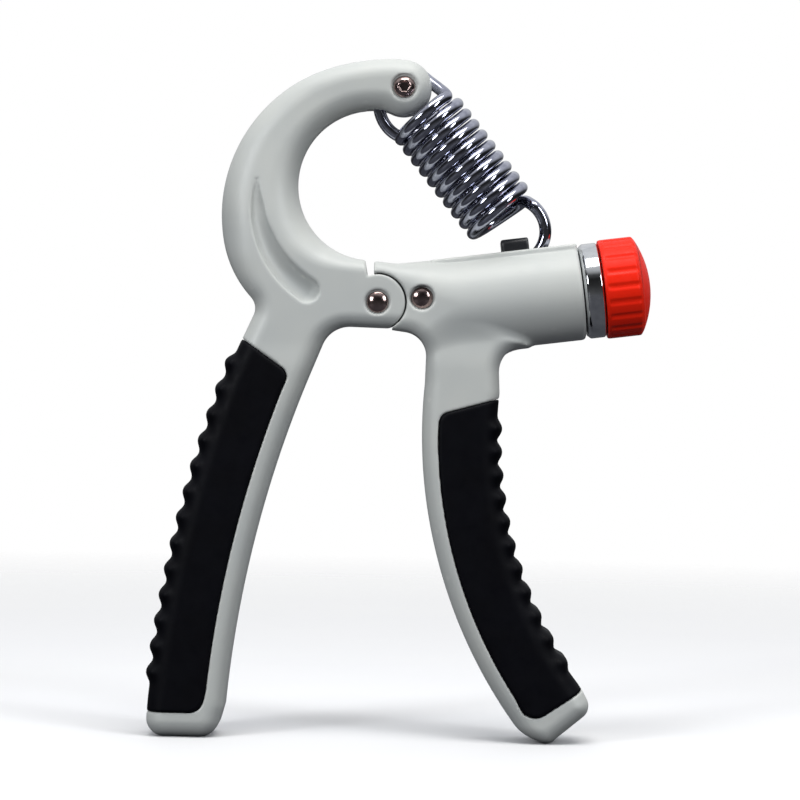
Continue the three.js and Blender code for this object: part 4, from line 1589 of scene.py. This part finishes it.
@dataclass
class SpringAndPin(SubAssembly):
    """Tension spring with a hook at each end, and the pin, sleeve and nut that it hangs on."""

    coil_radius: float = 7.625
    pitch: float = 3.0
    turns: int = 10
    pin_radius: float = 1.5
    pin_head: float = 2.6
    seat: float = 5.85
    sleeve_radius: float = 2.45
    wire_sides: int = 24
    softening: int = 10
    upper_hook: tuple[tuple[float, float], ...] = (
        (392, 7.3),
        (360, 7.7),
        (318, 8.7),
        (292, 8.65),
        (247, 8.0),
        (180, 7.45),
        (140, 6.7),
        (112, 5.8),
    )
    lower_hook: tuple[tuple[float, float], ...] = ((104, 7.4), (60, 7.45), (0, 7.5), (-64, 7.5))

    @property
    def coil_start(self) -> float:
        """Distance of the first coil from the upper hook's centre."""
        return (HOOK_SPAN - self.turns * self.pitch) / 2

    def at(self, along: float, across: float, rear: float) -> Array:
        """Point given along the spring from its upper hook, across it and to the rear.

        Args:
            along: Distance down the spring from the upper hook's centre.
            across: Distance to its upper right.
            rear: Distance to the rear.

        Returns:
            The point in the front view's frame.
        """
        c, s = math.cos(math.radians(SPRING_ANGLE)), math.sin(math.radians(SPRING_ANGLE))
        reach = along + HOOK_REACH
        return np.array((PIN[0] + reach * c - across * s, rear, PIN[1] + reach * s + across * c))

    def hook(self, centre: float, shape: Sequence[tuple[float, float]]) -> list[Array]:
        """Points of a hook round its centre.

        Args:
            centre: Where the hook's centre is along the spring.
            shape: Angles in degrees with the wire's distance from the centre there.

        Returns:
            The points, about five degrees apart.
        """
        turns, radii = np.array(shape).T
        count = math.ceil(abs(turns[-1] - turns[0]) / 5)
        steps = np.linspace(0.0, 1.0, count + 1)
        share = (turns - turns[0]) / (turns[-1] - turns[0])
        angles = np.radians(turns[0] + (turns[-1] - turns[0]) * steps)
        reach = np.interp(steps, share, radii)
        return [self.at(centre + r * math.cos(a), r * math.sin(a), 0.0) for r, a in zip(reach, angles)]

    def coil(self, turn: float) -> Array:
        """Point of the coils after so many turns.

        Args:
            turn: Number of turns from the first coil.

        Returns:
            The point.
        """
        angle = 2 * math.pi * turn
        return self.at(
            self.coil_start + turn * self.pitch,
            self.coil_radius * math.cos(angle),
            -self.coil_radius * math.sin(angle),
        )

    def centre_line(self) -> Array:
        """The wire's whole line, with soft bends between its hooks and its coils.

        Returns:
            The points, evenly spaced.
        """
        steps = 24
        turns = [self.coil(i / steps) for i in range(2, self.turns * steps - 1)]
        points = [*self.hook(0.0, self.upper_hook), *turns, *self.hook(HOOK_SPAN, self.lower_hook)]
        line = follow(np.array(points), 0.4)
        for _ in range(self.softening):
            line[1:-1] = 0.25 * line[:-2] + 0.5 * line[1:-1] + 0.25 * line[2:]
        return line

    def screw(self, x: Array, y: Array, z: Array) -> Array:
        """Field of the button-headed pin with its hexagonal socket.

        Args:
            x: Places along X.
            y: Places along Y.
            z: Places along Z.

        Returns:
            The signed distance.
        """
        u, v = x - PIN[0], z - PIN[1]
        radius = np.hypot(u, v)
        shank = meet(radius - self.pin_radius, slab(-self.seat - 0.2, self.seat + 1.2, y), 0.2)
        ball = np.sqrt(u**2 + (y + self.seat - 1.45) ** 2 + v**2) - 3.0
        head = meet(meet(ball, radius - self.pin_head, 0.3), y + self.seat, 0.15)
        head = np.maximum(head, -y - self.seat - 1.4)
        solid = join(shank, head, 0.15)
        return cut(solid, np.maximum(hexagon(1.35, u, v), y + self.seat + 0.35), 0.12)

    def nut(self, x: Array, y: Array, z: Array) -> Array:
        """Field of the small hexagonal nut at the rear.

        Args:
            x: Places along X.
            y: Places along Y.
            z: Places along Z.

        Returns:
            The signed distance.
        """
        u, v = x - PIN[0], z - PIN[1]
        solid = meet(hexagon(self.pin_head, u, v), slab(self.seat, self.seat + 1.5, y), 0.15)
        cone = (np.hypot(u, v) - self.pin_head - self.seat - 1.15 + y) * 0.707
        solid = meet(solid, cone, 0.1)
        return cut(solid, np.hypot(u, v) - self.pin_radius - FIT, 0.12)

    def build(self, shop: Workshop) -> None:
        """Makes the spring, the pin, the nut and the sleeve.

        Args:
            shop: The workshop.
        """
        fine = Skinner(shop.skinner.step * 0.4)
        reach = 3.4
        low, high = (PIN[0] - reach, -8.0, PIN[1] - reach), (PIN[0] + reach, 7.6, PIN[1] + reach)
        shop.place("pin_screw", fine.skin(self.screw, low, high), RIVET_STEEL, Body.LEFT_ARM, ["spring_pin_screw"])
        low, high = (PIN[0] - reach, 5.2, PIN[1] - reach), (PIN[0] + reach, 8.0, PIN[1] + reach)
        shop.place("pin_nut", fine.skin(self.nut, low, high), RIVET_STEEL, Body.LEFT_ARM, ["spring_pin_nut"])
        half = WIRE / 2 + 0.55 - FIT
        hole, rim = self.pin_radius + FIT, self.sleeve_radius
        loop = [(hole, -half), (rim, -half), (rim, half), (hole, half)]
        sleeve = shop.lathe.across(shop.lathe.turn(soft_profile(loop, 0.2, True), None, True), PIN)
        shop.place("pin_sleeve", sleeve, ZINC, Body.SPRING_PIN, ["spring_pin_sleeve"])
        shell = sweep(self.centre_line(), WIRE / 2, self.wire_sides)
        nodes = ["tension_spring", "tension_spring_lower_hook"]
        spring = shop.place("coil_spring", shell, SPRING_CHROME, None, nodes)
        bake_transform(spring)


# ---------------------------------------------------------------- screw, slider, collar and knob


@dataclass
class Adjuster(SubAssembly):
    """Knob, collar, screw and the slider that the spring pulls on."""

    screw_radius: float = 2.5
    thread_depth: float = 0.45
    thread_pitch: float = 1.0
    slider_at: float = 32.8
    slider_length: float = 10.0
    lug_length: float = 6.2
    lug_width: float = 7.4
    lug_rise: float = 2.8
    bridge: float = 3.1
    collar_radius: float = 10.8
    collar_length: float = 4.3
    knob_radius: float = 11.3
    knob_length: float = 10.9
    flutes: int = 20
    flute_depth: float = 0.26
    hex_radius: float = 4.2

    @property
    def knob_start(self) -> float:
        """Where the knob begins along the barrel's axis."""
        return BARREL.mouth + self.collar_length + 2 * FIT

    @staticmethod
    def six_sided(radius: Array, angle: Array) -> Array:
        """Radius of a hexagon of that corner radius at an angle."""
        part = np.mod(angle, math.pi / 3) - math.pi / 6
        return radius * math.cos(math.pi / 6) / np.cos(part)

    def knob(self, shop: Workshop) -> Shell:
        """Fluted knob with a domed end and a pocket for the screw's head.

        Args:
            shop: The workshop; not used.

        Returns:
            The mesh.
        """
        start, end = self.knob_start, self.knob_start + self.knob_length
        radius, rim = self.knob_radius, self.knob_radius - 1.15
        shoulder = end - 3.2
        dome_height = end - shoulder - 0.75
        sphere = (rim**2 + dome_height**2) / (2 * dome_height)
        dome = []
        for i in range(16, -1, -1):
            r = rim * i / 16
            dome.append((r, end - sphere + math.sqrt(sphere**2 - r**2)))
        body = [
            (0.0, start + 5.4),
            (self.hex_radius + FIT, start + 5.4),
            (self.hex_radius + FIT, start + 0.9),
            (6.8, start + 0.9),
            (6.8, start),
            (radius - 0.15, start),
            (radius, start + 0.6),
            (radius, shoulder),
            (rim + 0.35, shoulder + 0.55),
            (rim, shoulder + 0.75),
        ]
        smooth = soft_profile([*body, (rim * 0.96, dome[1][1])], 0.35)[:-1]
        wall = []
        for a, b in zip(smooth[:-1], smooth[1:]):
            count = max(1, math.ceil(float(np.linalg.norm(b - a)) / 0.5)) if a[0] > 10 and b[0] > 10 else 1
            wall += [a + (b - a) * k / count for k in range(count)]
        profile = np.array([*wall, *dome])

        def shape(r: Array, along: Array, angle: Array) -> Array:
            """Cuts the flutes and makes the pocket six-sided.

            Args:
                r: Radii of the plain turned shape.
                along: Places along the axis.
                angle: Angles round the axis.

            Returns:
                The changed radii.
            """
            wave = 0.5 + 0.5 * np.cos(angle * self.flutes)
            valley = np.clip((wave - 0.52) / 0.48, 0.0, 1.0) ** 1.2
            runout = ramp(start + 0.5, start + 1.1, along) * (1.0 - ramp(shoulder - 0.1, shoulder + 0.7, along))
            outside = (r > self.knob_radius - 0.6) * 1.0
            pocket = (r < self.hex_radius + FIT + 0.01) & (along < start + 5.5)
            fluted = r - self.flute_depth * valley * runout * outside
            return np.where(pocket, self.six_sided(fluted, angle), fluted)

        lathe = Lathe(self.flutes * 16)
        return lathe.on_barrel(lathe.turn(profile, shape))

    def screw(self) -> Shell:
        """Threaded rod with a six-sided head inside the knob.

        Returns:
            The mesh.
        """
        first, clip, head = BARREL.start + 1.4, 41.2, self.knob_start + 1.1
        places = [(self.screw_radius - 0.6, first), (self.screw_radius, first + 0.6)]
        places += [(self.screw_radius, first + 0.6 + 0.125 * i) for i in range(1, int((clip - first - 0.8) / 0.125))]
        places += [
            (self.screw_radius, clip),
            (self.screw_radius - 0.6, clip),
            (self.screw_radius - 0.6, clip + 0.8),
            (self.screw_radius, clip + 0.8),
            (self.screw_radius, head),
            (self.hex_radius, head),
            (self.hex_radius, head + 3.8),
            (self.hex_radius - 0.2, head + 4.0),
        ]
        profile = np.array([(0.0, first), *places, (0.0, head + 4.0)])

        def shape(r: Array, along: Array, angle: Array) -> Array:
            """Cuts the thread and makes the head six-sided.

            Args:
                r: Radii of the plain turned shape.
                along: Places along the axis.
                angle: Angles round the axis.

            Returns:
                The changed radii.
            """
            phase = np.mod(along / self.thread_pitch - angle / (2 * math.pi), 1.0)
            crest = 1.0 - np.clip(np.abs(phase - 0.5) * 2.6 - 0.15, 0.0, 1.0)
            threaded = (along > first + 0.5) & (along < clip - 0.2)
            turned = np.where(threaded, r - self.thread_depth * (1.0 - crest), r)
            shoulder = np.where(along > head - 0.01, np.minimum(turned, self.screw_radius + 1.0), turned)
            return np.where(along > head + 0.01, self.six_sided(turned, angle), shoulder)

        lathe = Lathe(48)
        return lathe.on_barrel(lathe.turn(profile, shape))

    def slider(self, x: Array, y: Array, z: Array) -> Array:
        """Field of the slider: a round nut with a lug through the slot and a channel for the hook.

        Args:
            x: Places along X.
            y: Places along Y.
            z: Places along Z.

        Returns:
            The signed distance.
        """
        along, above = BARREL.local(x, z)
        start, end = self.slider_at - self.slider_length / 2, self.slider_at + self.slider_length / 2
        round_nut = meet(np.hypot(above, y) - (BARREL.bore - FIT), slab(start, end, along), 0.4)
        top = BARREL.radius + self.lug_rise
        half = self.lug_length / 2
        crown = meet(slab(2.0, top, above), np.abs(y) - self.lug_width / 2, 1.3)
        lug = meet(crown, np.abs(along - self.slider_at) - half, 0.35)
        solid = join(round_nut, lug, 0.4)
        channel = np.maximum(slab(self.screw_radius + 1, top - self.bridge, above), np.abs(y) - (WIRE / 2 + 0.55))
        solid = cut(solid, channel, 0.4)
        return cut(solid, np.hypot(above, y) - self.screw_radius - FIT, 0.2)

    def ring(self, shop: Workshop, inner: float, outer: float, start: float, end: float, soft: float = 0.15) -> Shell:
        """Plain turned ring on the barrel's axis.

        Args:
            shop: The workshop.
            inner: Inner radius.
            outer: Outer radius.
            start: Where it begins along the axis.
            end: Where it ends.
            soft: Rounding of its edges.

        Returns:
            The mesh.
        """
        loop = [(inner, start), (outer, start), (outer, end), (inner, end)]
        return shop.lathe.on_barrel(shop.lathe.turn(soft_profile(loop, soft, True), None, True))

    def collar(self, shop: Workshop) -> Shell:
        """Chromed collar with a spigot in the barrel's mouth and bevelled edges.

        Args:
            shop: The workshop.

        Returns:
            The mesh.
        """
        start = BARREL.mouth + FIT
        end = start + self.collar_length
        radius, inner = self.collar_radius, self.screw_radius + FIT
        loop = [
            (inner, 45.0),
            (BARREL.bore - FIT, 45.0),
            (BARREL.bore - FIT, start),
            (radius - 0.75, start),
            (radius - 0.1, start + 0.75),
            (radius, start + 1.0),
            (radius, end - 0.35),
            (radius - 0.3, end),
            (inner, end),
        ]
        return shop.lathe.on_barrel(shop.lathe.turn(soft_profile(loop, 0.18, True), None, True))

    def build(self, shop: Workshop) -> None:
        """Makes the slider, the screw and its small parts, the collar and the knob.

        Args:
            shop: The workshop.
        """
        shell = shop.skinner.skin(self.slider, (23.5, -8.4, -7.5), (40.5, 8.4, 17.5))
        shop.place("slider_with_lug", shell, NYLON, Body.SLIDER, ["slider_nut"])
        shop.place("threaded_screw", self.screw(), ZINC, Body.KNOB, ["lead_screw"])
        screw, bore = self.screw_radius, BARREL.bore - FIT
        clip = self.ring(shop, screw - 0.3, 4.6, 41.3, 41.9, 0.1)
        shop.place("snap_ring", clip, ZINC, Body.KNOB, ["retaining_clip"])
        bushing = self.ring(shop, screw + FIT, bore, 42.3, 44.7, 0.25)
        shop.place("bushing_ring", bushing, NYLON, Body.RIGHT_HANDLE, ["screw_bushing"])
        shop.place("collar_ring", self.collar(shop), COLLAR_CHROME, Body.RIGHT_HANDLE, ["chrome_collar"])
        seat = self.knob_start
        thrust = self.ring(shop, screw + FIT, 6.5, seat, seat + 0.6)
        shop.place("thrust_ring", thrust, ZINC, Body.KNOB, ["thrust_washer"])
        shop.place("fluted_knob", self.knob(shop), KNOB_PLASTIC, Body.KNOB, ["knob"])


# ---------------------------------------------------------------- studio


@dataclass
class Studio:
    """Pale floor, soft lights and the camera."""

    aim: tuple[float, float, float] = (-0.29, 0.0, 76.95)
    distance: float = 700.0
    view_width: float = 182.24
    roll: float = 1.2
    floor_radius: float = 0.9

    def floor(self) -> None:
        """Makes a plain white floor that fades into the surroundings towards its rim."""
        radius, turns = self.floor_radius, [i * math.tau / 96 for i in range(96)]
        rim = [(radius * math.cos(turn), radius * math.sin(turn), 0.0) for turn in turns]
        mesh = bpy.data.meshes.new("floor")
        mesh.from_pydata(rim, [], [tuple(range(96))])
        graph = Graph("floor_paint")
        seen = graph.add("ShaderNodeLightPath").outputs["Is Camera Ray"]
        paint = graph.blend(graph.span(graph.noise(0.01, 2.0), 0.0, 1.0), Tone(240, 240, 241), Tone(238, 238, 240))
        graph.link(graph.blend(seen, Tone(66, 67, 72), paint), graph.surface.inputs["Base Color"])
        graph.surface.inputs["Roughness"].default_value = 0.6
        graph.surface.inputs["Specular IOR Level"].default_value = 0.2
        away = graph.add("ShaderNodeVectorMath", operation="LENGTH")
        graph.link(graph.place, away.inputs[0])
        shown = graph.span(away.outputs["Value"], 1.0, 0.0, (180.0, 900.0 * self.floor_radius))
        graph.link(shown, graph.surface.inputs["Alpha"])
        mesh.materials.append(graph.material)
        floor = bpy.data.objects.new("floor", mesh)
        bpy.context.scene.collection.objects.link(floor)

    def sky(self) -> None:
        """White surroundings for the eye, and a soft dark-sided room for the metal."""
        world = bpy.data.worlds.new("studio")
        bpy.context.scene.world = world
        world.use_nodes = True
        nodes, links = world.node_tree.nodes, world.node_tree.links
        nodes.clear()
        output = nodes.new("ShaderNodeOutputWorld")
        mix = nodes.new("ShaderNodeMixShader")
        path = nodes.new("ShaderNodeLightPath")
        white = nodes.new("ShaderNodeBackground")
        white.inputs["Color"].default_value = (1, 1, 1, 1)
        white.inputs["Strength"].default_value = 1.0
        room = nodes.new("ShaderNodeBackground")
        room.inputs["Strength"].default_value = 0.8
        place = nodes.new("ShaderNodeTexCoord")
        upward = nodes.new("ShaderNodeVectorMath")
        upward.operation = "DOT_PRODUCT"
        upward.inputs[1].default_value = (0.0, 0.34, 0.94)
        tones = nodes.new("ShaderNodeValToRGB")
        ramp_points = [(0.0, 0.2), (0.42, 0.04), (0.56, 0.02), (0.65, 0.09), (0.73, 0.6), (0.86, 1.0)]
        elements = tones.color_ramp.elements
        while len(elements) < len(ramp_points):
            elements.new(0.5)
        for element, (position, level) in zip(elements, ramp_points):
            element.position = position
            element.color = (level * 0.95, level * 0.97, level, 1)
        height = nodes.new("ShaderNodeMapRange")
        height.inputs["From Min"].default_value = -1.0
        links.new(place.outputs["Generated"], upward.inputs[0])
        links.new(upward.outputs["Value"], height.inputs["Value"])
        links.new(height.outputs["Result"], tones.inputs["Fac"])
        links.new(tones.outputs["Color"], room.inputs["Color"])
        links.new(path.outputs["Is Camera Ray"], mix.inputs["Fac"])
        links.new(room.outputs["Background"], mix.inputs[1])
        links.new(white.outputs["Background"], mix.inputs[2])
        links.new(mix.outputs["Shader"], output.inputs["Surface"])

    def lamp(
        self,
        name: str,
        at: tuple[float, float, float],
        size: tuple[float, float],
        power: float,
        tint: tuple[float, float, float] = (1, 1, 1),
    ) -> None:
        """Soft rectangular light aimed at the object.

        Args:
            name: Its name.
            at: Where it stands, in metres.
            size: Its width and height in metres.
            power: Its power in watts.
            tint: Its colour.
        """
        data = bpy.data.lights.new(name, "AREA")
        data.shape = "RECTANGLE"
        data.size, data.size_y = size
        data.energy = power
        data.color = tint
        lamp = bpy.data.objects.new(name, data)
        lamp.location = at
        lamp.rotation_euler = (Vector((0, 0, 0.08)) - Vector(at)).to_track_quat("-Z", "Y").to_euler()
        bpy.context.scene.collection.objects.link(lamp)

    def camera(self) -> None:
        """Puts the camera in front, level with the object's middle and slightly rolled."""
        data = bpy.data.cameras.new("camera")
        data.lens = data.sensor_width * self.distance / self.view_width
        data.clip_start, data.clip_end = 0.01, 50.0
        camera = bpy.data.objects.new("camera", data)
        turn = math.radians(self.roll)
        right = Vector((math.cos(turn), 0, math.sin(turn)))
        up = Vector((-math.sin(turn), 0, math.cos(turn)))
        back = Vector((0, -1, 0))
        matrix = Matrix((right, up, back)).transposed().to_4x4()
        matrix.translation = Vector(self.aim) * MM + back * self.distance * MM
        camera.matrix_world = matrix
        bpy.context.scene.collection.objects.link(camera)
        bpy.context.scene.camera = camera

    def build(self) -> None:
        """Makes the floor, the surroundings, the lights and the camera."""
        bpy.context.scene.view_settings.view_transform = "Standard"
        self.floor()
        self.sky()
        self.lamp("overhead", (0.06, -0.26, 0.9), (0.7, 0.35), 4.8, (1.0, 0.985, 0.95))
        self.lamp("front_left", (-0.75, -0.9, 0.5), (0.28, 0.36), 6.0, (0.94, 0.97, 1.0))
        self.lamp("front_right", (0.8, -0.8, 0.6), (0.3, 0.5), 4.6, (0.94, 0.97, 1.0))
        self.camera()
        LOG.info("studio ready")


def main() -> None:
    """Builds the studio and each sub-assembly."""
    logging.basicConfig(level=logging.INFO, format="%(name)s: %(message)s")
    shop = Workshop(Skinner(0.45), Lathe(96))
    Studio().build()
    parts: list[SubAssembly] = [LeftArm(), RightHandle(), Hinge(), SpringAndPin(), Adjuster()]
    for part in parts:
        part.build(shop)
        LOG.info("%s done, %d pieces so far", type(part).__name__, len(shop.made))


if __name__ == "__main__":
    main()
